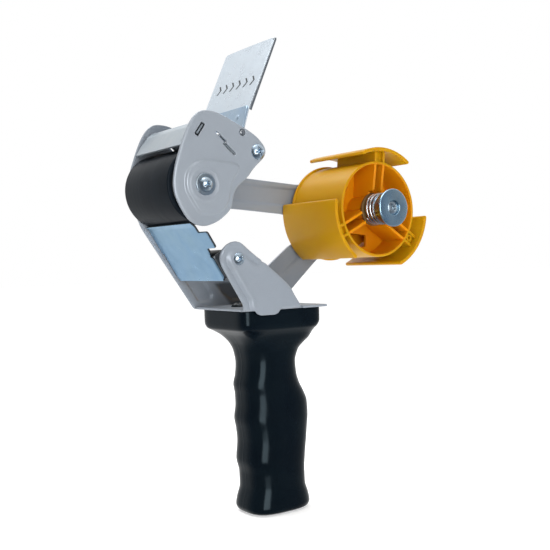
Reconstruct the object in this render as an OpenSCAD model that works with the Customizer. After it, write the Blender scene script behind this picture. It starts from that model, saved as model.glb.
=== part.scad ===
// Hand-held tape gun dispenser for 50 mm packing tape on a 76 mm core.
// A stamped side frame carries a rubber roller, a swinging wipe-down flap, a sprung
// tape guide plate, a tape hub with an adjustable friction brake, and a pistol grip.
// X runs from the roller (negative) to the hub (positive), Y from the open side
// (negative) to the frame's side plate (positive), Z up. The origin is the centre of the tape roll.

/* [Frame] */
// Thickness of the frame's sheet steel
sheet_t = 1.5; // [1.2:0.1:1.6]
// Clear width between the two cheeks
inner_w = 54; // [53.8:0.1:54.6]
// Height of the raised stampings
emboss_h = 1.2; // [0.8:0.1:1.4]

/* [Roller] */
// Radius of the pressing roller
roller_r = 21.3; // [20.6:0.1:21.6]
// Length of the pressing roller
roller_len = 52; // [50:0.5:52]
// Radius of the roller's shaft
roller_shaft_r = 4; // [3.5:0.1:4.5]

/* [Tape hub] */
// Outer radius of the three wings that carry the tape's core
hub_r = 38.5; // [38:0.1:38.8]
// Outer radius of the hub's drum
drum_r = 30.2; // [29:0.1:31]
// Wall thickness of the hub's moulding
hub_wall = 1.8; // [1.6:0.1:2.2]
// Radius of the fixed hub axle
axle_r = 4; // [3.5:0.1:4.2]

/* [Flap] */
// Thickness of the flap's spring steel
flap_t = 0.8; // [0.6:0.1:1.0]
// Width of the flap
flap_w = 53.2; // [50:0.2:53.4]

/* [Grip] */
// Wall thickness of the grip's moulding
grip_wall = 3; // [2.4:0.2:4]

/* [Hidden] */
$fn = 64;
hw = inner_w / 2;              // half of the clear width
ho = hw + sheet_t;             // outer face of a cheek
run = 0.05;                    // radial clearance of a running fit
roller_c = [-129.3, 11.8];     // roller axis, X and Z
rear_c = [-93.8, 31.0];        // rear tie rod
flap_c = [-103.5, 41.5];       // flap hinge pin
guide_c = [-108.8, -28.8];     // guide plate pivot
base_top = -57.1;
base_bot = base_top - 1.5;
guide_a = 57.8;                // slope of the guide plate below the horizontal
guide_p = [-136.4, -9.2];      // guide plate's top edge

// ---- helpers ----------------------------------------------------------------

// 2D profile drawn in X-Z, extruded along Y from y0 to y1
module xz(y0, y1) translate([0, y1, 0]) rotate([90, 0, 0]) linear_extrude(y1 - y0) children();

// cylinder along Y from y0 to y1 at c = [x, z]
module ycyl(c, r, y0, y1) translate([c[0], y1, c[1]]) rotate([90, 0, 0]) cylinder(r = r, h = y1 - y0);

// tube along Y
module ytube(c, ro, ri, y0, y1) difference() {
    ycyl(c, ro, y0, y1);
    ycyl(c, ri, y0 - 1, y1 + 1);
}

// strip between two points in X-Z with thickness w (rounded ends optional)
module strip(a, b, w) {
    d = b - a; l = norm(d); n = [-d[1], d[0]] / l * w / 2;
    polygon([a + n, b + n, b - n, a - n]);
}

// domed pan head with a cross recess, axis along Y; dir -1 faces the open side, +1 the far side
module pan_head(c, r, h, y, dir) {
    difference() {
        intersection() {
            ycyl(c, r, min(y, y + dir * h), max(y, y + dir * h));
            translate([c[0], y - dir * (r * 1.25 - h), c[1]]) sphere(r = r * 1.25, $fn = 64);
        }
        for (a = [20, 110]) translate([c[0], y + dir * (h - 0.5), c[1]]) rotate([0, a, 0])
            cube([r * 0.95, 2.2, r * 0.24], center = true);
    }
}

// open coil swept along Y: n turns of wire radius w on mean radius r, from y0 to y1
module coil(c, r, w, y0, y1, n, seg = 14, side = 6) {
    m = floor(n * seg);
    p = [for (i = [0 : m]) let (a = 360 * i / seg, y = y0 + w + (y1 - y0 - 2 * w) * i / m)
        for (j = [0 : side - 1]) let (b = 360 * j / side, q = r + w * cos(b))
            [c[0] + q * cos(a), y + w * sin(b), c[1] + q * sin(a)]];
    f = concat(
        [[for (j = [0 : side - 1]) j]],
        [for (i = [0 : m - 1]) for (j = [0 : side - 1]) let (k = (j + 1) % side)
            [i * side + j, (i + 1) * side + j, (i + 1) * side + k, i * side + k]],
        [[for (j = [side - 1 : -1 : 0]) m * side + j]]);
    polyhedron(points = p, faces = f, convexity = 10);
}

// ---- outlines ---------------------------------------------------------------

cheek_pts = [[-124.3, 52.1], [-127.8, 52.1], [-130.7, 51.3], [-134.2, 48.7], [-136.9, 45.0], [-139.2, 40.8],
    [-141.6, 35.2], [-144.4, 27.5], [-146.3, 21.9], [-147.6, 15.9], [-148.0, 10.7], [-147.0, 5.6], [-144.6, 0.4],
    [-141.4, -4.7], [-138.6, -7.8], [-134.7, -10.0], [-129.5, -10.8], [-124.0, -9.4], [-119.4, -7.2], [-114.9, -3.8],
    [-112.1, -0.7], [-111.1, 2.1], [-110.7, 5.2], [-109.6, 8.3], [-107.9, 11.0], [-105.2, 13.3], [-100.3, 16.9],
    [-97.5, 20.6], [-94.1, 23.9], [-91.3, 26.2], [-89.0, 28.6], [-88.1, 31.0], [-88.3, 33.5], [-90.4, 36.4],
    [-93.5, 39.4], [-97.7, 42.0], [-102.5, 44.3], [-111.2, 48.2], [-117.3, 50.8], [-121.0, 51.8]];

emboss_pts = [[-141.5, 13.5], [-140.9, 17.4], [-138.9, 20.6], [-135.3, 23.6], [-130.3, 25.2], [-122.3, 25.4],
    [-115.2, 24.9], [-107.6, 23.9], [-105.9, 21.6], [-107.1, 18.5], [-110.4, 14.9], [-112.1, 11.5], [-112.9, 6.9],
    [-114.1, 2.1], [-116.7, -1.9], [-120.8, -4.3], [-126.5, -5.4], [-131.5, -5.0], [-134.6, -2.3], [-137.6, 2.4],
    [-140.8, 7.4], [-141.5, 10.6]];

ear_pts = [[-106.1, base_top], [-106.6, -53.9], [-109.3, -49.5], [-113.1, -43.3], [-116.8, -37.4], [-119.6, -32.6],
    [-120.7, -29.0], [-120.3, -26.0], [-118.8, -23.3], [-116.2, -21.0], [-113.2, -19.5], [-110.2, -19.0],
    [-107.2, -19.7], [-104.2, -21.6], [-99.2, -25.6], [-95.2, -28.5], [-88.5, -33.4], [-81.8, -38.6],
    [-75.5, -43.9], [-72.9, -46.8], [-70.8, -50.3], [-68.3, -54.0], [-66.0, base_top]];

// side plate: head, front strut, lower arm, hub seat and upper arm round one large window
plate_pts = concat([for (i = [0 : 13]) cheek_pts[i]],
    [[-140.0, -8.8], [-133.4, -18.4], [-106.7, -57.4], [-106.1, base_bot], [-47.0, base_bot], [-42.0, -57.6],
    [-31.8, -49.2], [-14.0, -33.6], [-2, -24], [13, -21], [23, -10], [24, 5], [17, 17], [6, 23], [-8, 22],
    [-25.0, 19.1], [-63.1, 22.1], [-80.0, 23.6], [-86.0, 26.5]],
    [for (i = [31 : 39]) cheek_pts[i]]);
window_pts = [[-105.0, 4.6], [-70.8, 2.4], [-39.7, -0.2], [-24, -3.0], [-22.0, -8.0], [-26.0, -18.0],
    [-32.9, -21.5], [-49.9, -33.6], [-54.0, -36.8], [-59.0, -38.8], [-90.0, -39.5], [-95.6, -38.2], [-111.5, -14.0],
    [-112.5, -6.0], [-110.0, 1.5]];
strut_bead = [[-131.6, -12.0], [-118.6, -12.0], [-92.6, -50.0], [-93.6, -54.4], [-103.2, -54.4]];
strut_dip = [[-130.0, -13.0], [-119.2, -13.0], [-94.0, -50.0], [-94.8, -53.4], [-102.4, -53.4]];
low_bead = [[-89.4, -43.0], [-86.6, -49.4], [-79.0, -54.6], [-57.0, -54.6], [-52.4, -49.6], [-57.6, -43.0]];
low_dip = [[-88.2, -44.0], [-85.8, -48.8], [-78.6, -53.6], [-57.6, -53.6], [-53.8, -49.6], [-58.2, -44.0]];

// cross slot of the guard's tab, and slot of the blade's tab
slot_c = [-130.95, 41.7];
slot_a = 54.9;
guard_a = -41.1;
guard_c = [-114.9, 35.0];

module in_slot(c, a) translate(c) rotate(a) children();
module cheek_slots() {
    in_slot(slot_c, slot_a) square([7.2, 1.8], center = true);
    in_slot(guard_c, guard_a) {
        translate([-8.3, -0.1]) square([8.6, 1.5]);
        translate([-0.6, -1.5]) square([9.2, 1.6]);
    }
}
// shafts and pins through the head
module head_holes() {
    translate(roller_c) circle(r = 2.3);
    translate(rear_c) circle(r = 2.3);
    translate(flap_c) circle(r = 1.5 + run);
}

// ---- frame ------------------------------------------------------------------

module frame() color([0.66, 0.69, 0.73]) {
    difference() {
        union() {
            // side plate
            xz(hw, ho) difference() {
                polygon(plate_pts);
                polygon(window_pts);
            }
            // raised stampings on its far face: roller seat, arms, front strut, hub seat
            xz(hw + emboss_h, ho + emboss_h) {
                polygon(emboss_pts);
                strip([-85, 14.2], [-23, 10.2], 12);
                strip([-48, -39.4], [-19, -16.6], 12);
                polygon(strut_bead);
                translate(guide_c) circle(r = 6.4);
                polygon(low_bead);
            }
            ycyl([0, 0], 17, hw, ho + emboss_h);
            // base plate with its tongue and the near ear
            translate([-106.1, -ho, base_bot]) cube([59.1, 2 * ho, 1.5]);
            xz(-ho, -hw) {
                polygon(ear_pts);
                polygon([[-99.0, base_top], [-98.4, -58.6], [-97.2, -60.2], [-94.6, -61.2], [-85.2, -61.2],
                    [-82.8, -60.3], [-81.8, -58.6], [-81.2, base_top]]);
            }
            // stiffening bead along the ear's front edge
            xz(-ho - 0.9, -hw - 0.6) {
                strip([-115.4, -31.0], [-101.0, -55.4], 2.4);
                translate([-115.4, -31.0]) circle(r = 1.2);
                translate([-101.0, -55.4]) circle(r = 1.2);
            }
        }
        // hollow side of the stampings
        xz(hw - 1, hw + emboss_h) {
            polygon([for (p = emboss_pts) roller_c + (p - roller_c) * 0.93]);
            strip([-83.5, 14.1], [-26, 10.4], 10.4);
            strip([-46.6, -38.3], [-21.5, -18.6], 10.4);
            polygon(strut_dip);
            translate(guide_c) circle(r = 5.6);
            polygon(low_dip);
        }
        xz(hw - 1, ho + 3) {
            head_holes();
            cheek_slots();
            translate(guide_c) circle(r = 1.8);
            circle(r = axle_r + run);
        }
        xz(-ho - 2, -hw + 1) translate(guide_c) circle(r = 1.8);
        for (x = [-92, -61]) translate([x, 0, base_bot - 1]) cylinder(r = 2.2, h = 4);
    }
}

module near_cheek() color([0.66, 0.69, 0.73]) difference() {
    union() {
        xz(-ho, -hw) polygon(cheek_pts);
        xz(-ho - emboss_h, -hw - emboss_h) polygon(emboss_pts);
    }
    xz(-hw - emboss_h, -hw + 1) polygon([for (p = emboss_pts) roller_c + (p - roller_c) * 0.93]);
    xz(-ho - 3, -hw + 1) {
        head_holes();
        cheek_slots();
    }
}

// ---- roller -----------------------------------------------------------------

rl = roller_len / 2;
module roller_tube() color([0.17, 0.19, 0.21]) translate([roller_c[0], rl, roller_c[1]]) rotate([90, 0, 0])
    rotate_extrude($fn = 128) polygon([[18.4, 0], [roller_r - 0.6, 0], [roller_r, 0.6], [roller_r, 2 * rl - 0.6],
        [roller_r - 0.6, 2 * rl], [18.4, 2 * rl]]);

module roller_end_caps() color([0.06, 0.07, 0.08]) for (s = [-1, 1])
    translate([roller_c[0], s * (rl - 0.4), roller_c[1]]) rotate([s * 90, 0, 0])
        rotate_extrude($fn = 96) polygon([[roller_shaft_r + run, -0.2], [8, -0.2], [8, 1.6], [15.6, 1.6],
            [15.6, 0], [18.4, 0], [18.4, 7], [16.6, 7], [16.6, 3.4], [8, 3.4], [8, 9], [roller_shaft_r + run, 9]]);

module roller_shaft() color([0.72, 0.74, 0.76]) difference() {
    ycyl(roller_c, roller_shaft_r, -hw - emboss_h, hw + emboss_h);
    ycyl(roller_c, 2 + run, -hw - 2, -hw + 13);
    ycyl(roller_c, 2 + run, hw - 13, hw + 2);
}

module thrust_washers() color([0.85, 0.85, 0.82]) for (s = [-1, 1])
    ytube(roller_c, 7, roller_shaft_r + run, min(s * (rl + 0.15), s * (hw + emboss_h)),
        max(s * (rl + 0.15), s * (hw + emboss_h)));

module screw_washers() color([0.62, 0.66, 0.70]) for (s = [-1, 1])
    ytube(roller_c, 6, 2 + run, min(s * (ho + emboss_h), s * (ho + emboss_h + 0.9)),
        max(s * (ho + emboss_h), s * (ho + emboss_h + 0.9)));

module pan_screw(c, head_r, head_h, y, dir, shank_r, len) {
    pan_head(c, head_r, head_h, y, dir);
    ycyl(c, shank_r, min(y - dir * len, y + dir * 0.3), max(y - dir * len, y + dir * 0.3));
}

module roller_screws() color([0.62, 0.68, 0.74]) for (s = [-1, 1])
    pan_screw(roller_c, 4.3, 2.6, s * (ho + emboss_h + 0.9), s, 2, 13);

module rear_tie_rod() color([0.70, 0.72, 0.74])
    ytube(rear_c, 4, 2 + run, -hw, hw);

module rear_screws() color([0.62, 0.68, 0.74]) for (s = [-1, 1])
    pan_screw(rear_c, 4.8, 2.7, s * ho, s, 2, 11);

// ---- blade and guard --------------------------------------------------------

// serrated strip with an end tab in each cheek's slot
teeth = 26;
module cutting_blade() color([0.80, 0.81, 0.82])
    translate([slot_c[0], 0, slot_c[1]]) rotate([0, -slot_a, 0]) translate([0, 0, -0.5]) {
        bw = hw - 0.15;
        linear_extrude(1.0) union() {
            polygon(concat([[1.6, -bw], [1.6, bw]],
                [for (i = [0 : 2 * teeth]) [-8.4 - (i % 2 == 1 ? 1.6 : 0), bw - i * bw / teeth]]));
            translate([-2.6, -ho - 0.4]) square([4.2, 2 * ho + 0.8]);
        }
    }

// bent sheet: sloping front strip, rounded crest and a rear leg with tabs in the cross slots
guard_pts = [[-142.4, 32.4], [-134.1, 43.1], [-132.6, 44.6], [-130.6, 45.7], [-128.6, 46.0], [-126.4, 45.3],
    [-121.5, 41.2], [-110.6, 31.7]];
module blade_guard() color([0.78, 0.81, 0.84]) difference() {
    union() {
        gw = hw - 0.1;
        xz(-gw, gw) for (i = [0 : len(guard_pts) - 2]) strip(guard_pts[i], guard_pts[i + 1], 1.2);
        xz(-gw, gw) for (i = [1 : len(guard_pts) - 2]) translate(guard_pts[i]) circle(r = 0.6);
        xz(-ho - 0.4, ho + 0.4) in_slot(guard_c, guard_a) translate([0.4, -1.3]) square([7.4, 1.2]);
    }
}

// ---- flap -------------------------------------------------------------------

flap_line = [[-100.9, 44.2], [-97.6, 54.6], [-77.6, 98.0]];
module push_flap() color([0.82, 0.86, 0.89]) {
    fw = flap_w / 2;
    difference() {
        xz(-fw, fw) {
            strip(flap_line[0], flap_line[1], flap_t);
            strip(flap_line[1], flap_line[2], flap_t);
            translate(flap_line[1]) circle(r = flap_t / 2, $fn = 24);
        }
        for (y = [-18, 0, 18]) translate([-98.85, y, 50.6]) rotate([0, 90 + 17.6, 0])
            cylinder(r = 1.6, h = 6, center = true);
    }
    // stiffening returns along both side edges
    for (s = [-1, 1]) xz(min(s * fw, s * (fw - 0.8)), max(s * fw, s * (fw - 0.8)))
        polygon([[-97.4, 55.0], [-77.6, 98.0], [-76.8, 97.6], [-95.4, 54.0]]);
}

// bracket: front plate, hinge knuckles round the pin
module flap_bracket() color([0.70, 0.77, 0.84]) {
    bw = flap_w / 2;
    difference() {
        union() {
            // plate against the flap's front face, corners cut off
            translate([-100.73, 0, 44.75]) rotate([0, 90 + 17.6, 0]) translate([0, 0, -1.62]) linear_extrude(1.2)
                polygon([[0, -bw], [-10.5, -bw], [-12.6, -bw + 2.2], [-12.6, bw - 2.2], [-10.5, bw], [0, bw]]);
            for (y = [[-bw, -11], [11, bw]]) {
                ycyl(flap_c, 2.9, y[0], y[1]);
                xz(y[0], y[1]) polygon([[-105.6, 43.4], [-102.6, 46.4], [-101.2, 45.6], [-102.0, 42.0]]);
            }
        }
        ycyl(flap_c, 1.5 + run, -hw - 1, hw + 1);
        for (y = [-18, 0, 18]) translate([-98.85, y, 50.6]) rotate([0, 90 + 17.6, 0])
            cylinder(r = 1.6, h = 8, center = true);
    }
}

module flap_rivets() color([0.74, 0.76, 0.78]) for (y = [-18, 0, 18])
    translate([-98.85, y, 50.6]) rotate([0, 90 + 17.6, 0]) {
        translate([0, 0, -1.8]) cylinder(r = 1.58, h = 2.4);
        intersection() {
            translate([0, 0, -2.75]) cylinder(r = 2.6, h = 1.08);
            translate([0, 0, 0.6]) sphere(r = 3.3);
        }
        translate([0, 0, 0.42]) cylinder(r = 2.4, h = 0.7);
    }

module flap_pin() color([0.70, 0.72, 0.74]) ycyl(flap_c, 1.5, -ho, ho);
module flap_spring() color([0.60, 0.62, 0.64]) coil(flap_c, 2.7, 0.5, -8.5, 8.5, 12);

// ---- guide plate ------------------------------------------------------------

module on_guide() translate([guide_p[0], 0, guide_p[1]]) rotate([0, guide_a, 0]) children();
lug_y = hw - 0.25;
// side lug drawn in X-Z: reaches back to the pivot
gd = [cos(guide_a), -sin(guide_a)];
gn = [sin(guide_a), cos(guide_a)];
function gpt(s, n) = guide_p + gd * s + gn * n;
module lug_2d() difference() {
    union() {
        polygon([gpt(22, 0.5), gpt(22, 11.5), gpt(25.6, 16), gpt(36.6, 12), gpt(36.0, 0.5)]);
        translate(guide_c) circle(r = 6);
    }
    translate(guide_c) circle(r = 3 + run);
}
module guide_plate() color([0.60, 0.72, 0.79]) {
    on_guide() {
        // plate with a thumb tab that reaches out past the near cheek
        linear_extrude(1.2) polygon([[2.0, -26.4], [5.6, -lug_y], [5.9, -34.6], [6.9, -35.6], [15.0, -35.6],
            [16.2, -34.4], [16.4, -lug_y], [36.2, -lug_y], [37.6, -lug_y + 1.6], [37.6, lug_y - 1.6], [36.2, lug_y],
            [5.6, lug_y], [2.0, 25.6]]);
        // lip turned away from the roller
        translate([2.2, 0, 0]) rotate([0, -22, 0]) translate([-3.4, -25.6, 0]) cube([3.6, 51.2, 1.2]);
    }
    for (s = [-1, 1]) xz(min(s * lug_y, s * (lug_y - 1.2)), max(s * lug_y, s * (lug_y - 1.2))) lug_2d();
}
module guide_shaft() color([0.70, 0.72, 0.74]) difference() {
    ycyl(guide_c, 3, -hw, hw);
    ycyl(guide_c, 1.5 + run, -hw - 1, -hw + 11);
    ycyl(guide_c, 1.5 + run, hw - 11, hw + 1);
}
module guide_sleeve() color([0.05, 0.06, 0.07]) ytube(guide_c, 5.5, 3 + run, -lug_y + 1.4, 9);
module guide_spring() color([0.60, 0.62, 0.64]) coil(guide_c, 4.2, 0.6, 9.6, 24.6, 9);
module guide_screws() color([0.62, 0.68, 0.74]) {
    pan_screw(guide_c, 3.9, 2.2, -ho, -1, 1.5, 10);
    pan_screw(guide_c, 3.9, 2.2, ho + emboss_h, 1, 1.5, 11);
}

// ---- tape hub ---------------------------------------------------------------

wing_y0 = -28.2; wing_y1 = 26.0;
// sector between two angles measured from +Z towards +X
module sector(a0, a1, r) polygon(concat([[0, 0]], [for (i = [0 : 6]) let (a = a0 + (a1 - a0) * i / 6) [r * sin(a), r * cos(a)]]));
module tape_hub() color([0.85, 0.60, 0.10]) difference() {
    union() {
        // drum, far flange, web and boss
        ytube([0, 0], drum_r, drum_r - hub_wall, -24.1, 26.0);
        ytube([0, 0], drum_r + 1.4, drum_r - hub_wall, 24.2, 26.0);
        difference() {
            ycyl([0, 0], drum_r - 0.5, -4, -2);
            for (a = [65, 185, 305]) rotate([0, a, 0]) translate([-8, -5, 15]) cube([16, 5, 8]);
        }
        ycyl([0, 0], 9.2, -18.6, 26.0);
        // three pairs of ribs through the drum wall, each pair under a curved wing
        for (k = [0 : 2]) rotate([0, 5 + 120 * k, 0]) {
            for (x = [-4.2, 2.4]) translate([x, -23.9, 6]) cube([1.8, 37.9, hub_r - 7]);
            translate([-4.2, -23.9, drum_r - 1]) cube([8.4, 1.6, hub_r - drum_r - 0.4]);
        }
        for (k = [0 : 2]) xz(wing_y0, wing_y1) intersection() {
            difference() {
                circle(r = hub_r, $fn = 128);
                circle(r = hub_r - hub_wall, $fn = 128);
            }
            sector(-23.5 + 120 * k, 38.8 + 120 * k, hub_r + 6);
        }
    }
    // counterbore of the boss that houses the brake, and the bushings' seats
    ycyl([0, 0], 5.6, -19, 27);
    // only boss and drum inside: clear the boss end for the brake washer
    ycyl([0, 0], 11.2, -30, -18.6);
    // windows through the drum between the wings' ribs
    for (a = [65, 185, 305]) rotate([0, a - 35, 0]) translate([-4, 0, drum_r - 6]) cube([8, 12, 10]);
}

module hub_bushings() color([0.12, 0.12, 0.13]) for (y = [[-18.6, -9], [16.4, 26.0]])
    ytube([0, 0], 5.6, axle_r + run, y[0], y[1]);

module hub_axle() color([0.70, 0.72, 0.74]) difference() {
    ycyl([0, 0], axle_r, -36.4, ho + 7.5);
    ycyl([0, 0], 2 + run, -37, -24);
}
module axle_nut() color([0.62, 0.68, 0.74]) {
    difference() {
        union() {
            translate([0, ho + emboss_h + 6.2, 0]) rotate([90, 0, 0]) cylinder(r = 7.2, h = 4.9, $fn = 6);
            ycyl([0, 0], 8, ho + emboss_h, ho + emboss_h + 1.4);
        }
        ycyl([0, 0], axle_r + run, ho, ho + 10);
    }
}
module axle_spacer() color([0.70, 0.72, 0.74]) ytube([0, 0], 8.5, axle_r + run, 26.15, hw);
module friction_washer() color([0.45, 0.32, 0.22]) ytube([0, 0], 10.4, axle_r + run, -20.2, -18.75);
module brake_spring() color([0.75, 0.76, 0.78]) coil([0, 0], 9.2, 0.95, -28.6, -20.2, 2.5, 24, 10);
module pressure_washer() color([0.70, 0.72, 0.74]) ytube([0, 0], 10.4, axle_r + run, -29.8, -28.6);
// adjusting nut: knurled neck and a wide thumb flange
module brake_knob() color([0.55, 0.60, 0.66]) difference() {
    union() {
        ycyl([0, 0], 9.6, -37.0, -29.85);
        translate([0, -36.3, 0]) rotate([90, 0, 0]) rotate_extrude($fn = 96)
            polygon([[0, 0], [11.3, 0], [11.7, 0.4], [11.7, 1.5], [11.3, 1.9], [0, 1.9]]);
    }
    ycyl([0, 0], axle_r + run, -38, -24);
    ycyl([0, 0], 4.6, -39, -36.42);
}
module lock_screw() color([0.62, 0.68, 0.74]) {
    difference() {
        ycyl([0, 0], 4.2, -38.0, -36.45);
        for (a = [40, 130]) translate([0, -37.9, 0]) rotate([0, a, 0]) cube([5.2, 1.6, 1.0], center = true);
    }
    ycyl([0, 0], 2, -36.5, -25);
}

// ---- pistol grip ------------------------------------------------------------

// stations: z, front x, rear x, half width, corner exponent
grip = [[-58.6, -103.7, -46.6, 24.0, 10], [-66.5, -103.6, -46.7, 24.0, 10], [-69.6, -103.0, -47.2, 23.4, 8],
    [-71.4, -100.6, -47.3, 21.8, 6], [-73.8, -97.6, -47.3, 19.8, 4.6], [-77.0, -94.8, -48.0, 18.2, 3.8],
    [-80.0, -92.9, -51.0, 17.0, 3.4], [-84.0, -91.5, -54.6, 15.9, 3.1], [-91.5, -90.4, -56.8, 15.3, 3], [-98.0, -91.1, -56.2, 15.3, 3],
    [-104.0, -92.6, -54.3, 15.5, 3], [-110.0, -91.8, -51.0, 15.6, 3], [-116.0, -91.7, -48.6, 15.8, 3],
    [-124.0, -92.8, -48.2, 16.0, 3], [-131.0, -91.6, -49.1, 16.0, 3], [-138.0, -91.0, -50.0, 16.0, 3],
    [-148.5, -92.0, -51.4, 16.0, 3], [-157.0, -90.2, -52.2, 15.8, 3], [-165.0, -90.0, -52.1, 15.9, 3],
    [-172.0, -92.0, -50.2, 16.8, 3], [-176.4, -92.8, -49.5, 17.1, 3], [-179.0, -91.8, -50.4, 16.3, 3],
    [-180.2, -89.8, -52.4, 14.4, 3]];
grip_z = [for (g = grip) g[0]];
function gl(k, z) = lookup(z, [for (g = grip) [g[0], g[k]]]);
function pw(v, e) = sign(v) * pow(abs(v), e);
module grip_loft(zs, d) {
    m = 48; n = len(zs);
    p = [for (z = zs) let (xf = gl(1, z) + d, xr = gl(2, z) - d, b = gl(3, z) - d, e = 2 / gl(4, z))
        for (j = [0 : m - 1]) let (a = 360 * j / m)
            [(xf + xr) / 2 + (xr - xf) / 2 * pw(cos(a), e), b * pw(sin(a), e), z]];
    f = concat([[for (j = [m - 1 : -1 : 0]) j]],
        [for (i = [0 : n - 2]) for (j = [0 : m - 1]) let (k = (j + 1) % m)
            [i * m + j, i * m + k, (i + 1) * m + k, (i + 1) * m + j]],
        [[for (j = [0 : m - 1]) (n - 1) * m + j]]);
    polyhedron(points = p, faces = f, convexity = 6);
}
module handle() color([0.07, 0.09, 0.11]) difference() {
    union() {
        difference() {
            grip_loft(grip_z, 0);
            translate([0, 0, 0.02]) grip_loft([-57.6, -66.5, -73.5, -84, -98, -116, -138, -157, -176.5], grip_wall);
        }
        // screw bosses hanging from the top wall
        translate([-92, 0, -80]) cylinder(r = 4.6, h = 80 + base_bot);
        translate([-61, 0, -80]) cylinder(r = 4.6, h = 80 + base_bot);
        translate([-92, -0.9, -76]) cube([31, 1.8, 76 + base_bot]);
    }
    for (x = [-92, -61]) translate([x, 0, -76]) cylinder(r = 2.0 + run, h = 20);
}
module handle_screws() color([0.62, 0.68, 0.74]) for (x = [-92, -61]) {
    translate([x, 0, -74]) cylinder(r = 2, h = 74 + base_top + 0.3);
    translate([x, 0, base_top]) difference() {
        intersection() {
            cylinder(r = 4.2, h = 2.5);
            translate([0, 0, 2.5 - 5.4]) sphere(r = 5.4);
        }
        for (a = [0, 90]) rotate([0, 0, a + 30]) translate([0, 0, 2.4]) cube([4, 1, 2.2], center = true);
    }
}

frame();
near_cheek();
roller_tube();
roller_end_caps();
roller_shaft();
thrust_washers();
screw_washers();
roller_screws();
rear_tie_rod();
rear_screws();
cutting_blade();
blade_guard();
push_flap();
flap_bracket();
flap_rivets();
flap_pin();
flap_spring();
guide_plate();
guide_shaft();
guide_sleeve();
guide_screws();
guide_spring();
tape_hub();
hub_bushings();
hub_axle();
axle_nut();
axle_spacer();
friction_washer();
brake_spring();
pressure_washer();
brake_knob();
lock_screw();
handle();
handle_screws();
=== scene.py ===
import math
import random
import bpy
import bmesh
import numpy as np
from mathutils import Matrix, Vector
from mathutils.geometry import delaunay_2d_cdt


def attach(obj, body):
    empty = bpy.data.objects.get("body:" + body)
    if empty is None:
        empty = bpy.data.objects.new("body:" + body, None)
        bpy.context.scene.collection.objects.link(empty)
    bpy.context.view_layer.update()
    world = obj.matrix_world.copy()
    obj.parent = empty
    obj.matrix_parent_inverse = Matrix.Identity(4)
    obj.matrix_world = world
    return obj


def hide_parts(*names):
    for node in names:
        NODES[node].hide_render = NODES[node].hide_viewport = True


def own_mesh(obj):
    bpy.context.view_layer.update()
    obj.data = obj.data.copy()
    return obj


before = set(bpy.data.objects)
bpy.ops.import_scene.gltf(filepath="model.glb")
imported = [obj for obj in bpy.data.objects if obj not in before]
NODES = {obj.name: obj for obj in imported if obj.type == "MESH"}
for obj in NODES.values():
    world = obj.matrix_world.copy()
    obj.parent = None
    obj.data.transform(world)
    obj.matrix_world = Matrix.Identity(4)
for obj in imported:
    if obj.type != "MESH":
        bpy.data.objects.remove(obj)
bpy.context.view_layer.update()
scene = bpy.context.scene
MM = 0.001
random.seed(7)


# ================================================================ mesh helpers (all in mm, row frame)
class Geo:
    """Vertices and faces of one piece, in mm. Sub-shapes are added one after the other."""

    def __init__(self):
        self.v = []
        self.f = []

    def add(self, verts, faces, flip=False):
        n = len(self.v)
        self.v += [tuple(p) for p in verts]
        self.f += [tuple(n + i for i in (reversed(f) if flip else f)) for f in faces]
        return self

    def merge(self, other):
        return self.add(other.v, other.f)

    def mapped(self, m):
        g = Geo()
        g.v = [tuple(m @ Vector(p)) for p in self.v]
        g.f = list(self.f)
        return g


def make(name, geo, body, nodes, mat, angle=32, fix=True):
    me = bpy.data.meshes.new(name)
    me.from_pydata([(x * MM, y * MM, z * MM) for x, y, z in geo.v], [], geo.f)
    me.validate()
    bm = bmesh.new()
    bm.from_mesh(me)
    bmesh.ops.remove_doubles(bm, verts=bm.verts, dist=1e-7)
    if fix:
        bmesh.ops.recalc_face_normals(bm, faces=bm.faces)
    bm.to_mesh(me)
    bm.free()
    me.shade_smooth()
    me.set_sharp_from_angle(angle=math.radians(angle))
    o = bpy.data.objects.new(name, me)
    scene.collection.objects.link(o)
    for m in (mat if isinstance(mat, (list, tuple)) else [mat]):
        me.materials.append(m)
    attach(o, body)
    if nodes:
        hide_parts(*nodes)
    return o


def boolean(name, base, cuts=(), adds=()):
    """Union and difference of closed shapes with the manifold solver; returns a Geo."""
    objs = []

    def tmp(g):
        me = bpy.data.meshes.new("tmp")
        me.from_pydata([tuple(p) for p in g.v], [], g.f)
        me.validate()
        bm = bmesh.new()
        bm.from_mesh(me)
        bmesh.ops.remove_doubles(bm, verts=bm.verts, dist=1e-5)
        bmesh.ops.recalc_face_normals(bm, faces=bm.faces)
        bm.to_mesh(me)
        bm.free()
        o = bpy.data.objects.new("tmp", me)
        scene.collection.objects.link(o)
        objs.append(o)
        return o

    b = tmp(base)
    for kind, items in (("UNION", adds), ("DIFFERENCE", cuts)):
        for g in items:
            m = b.modifiers.new("b", "BOOLEAN")
            m.operation = kind
            m.solver = "MANIFOLD"
            m.object = tmp(g)
    bpy.context.view_layer.update()
    ev = b.evaluated_get(bpy.context.evaluated_depsgraph_get())
    me = ev.to_mesh()
    out = Geo()
    out.v = [tuple(v.co) for v in me.vertices]
    out.f = [tuple(p.vertices) for p in me.polygons]
    ev.to_mesh_clear()
    for o in objs:
        d = o.data
        bpy.data.objects.remove(o)
        bpy.data.meshes.remove(d)
    if not out.f:
        raise RuntimeError(name + ": boolean came back empty")
    return out


def area2(loop):
    a = np.asarray(loop, float)
    b = np.roll(a, -1, 0)
    return float((a[:, 0] * b[:, 1] - b[:, 0] * a[:, 1]).sum())


def ccw(loop):
    loop = [tuple(p) for p in loop]
    return loop if area2(loop) > 0 else loop[::-1]


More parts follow.
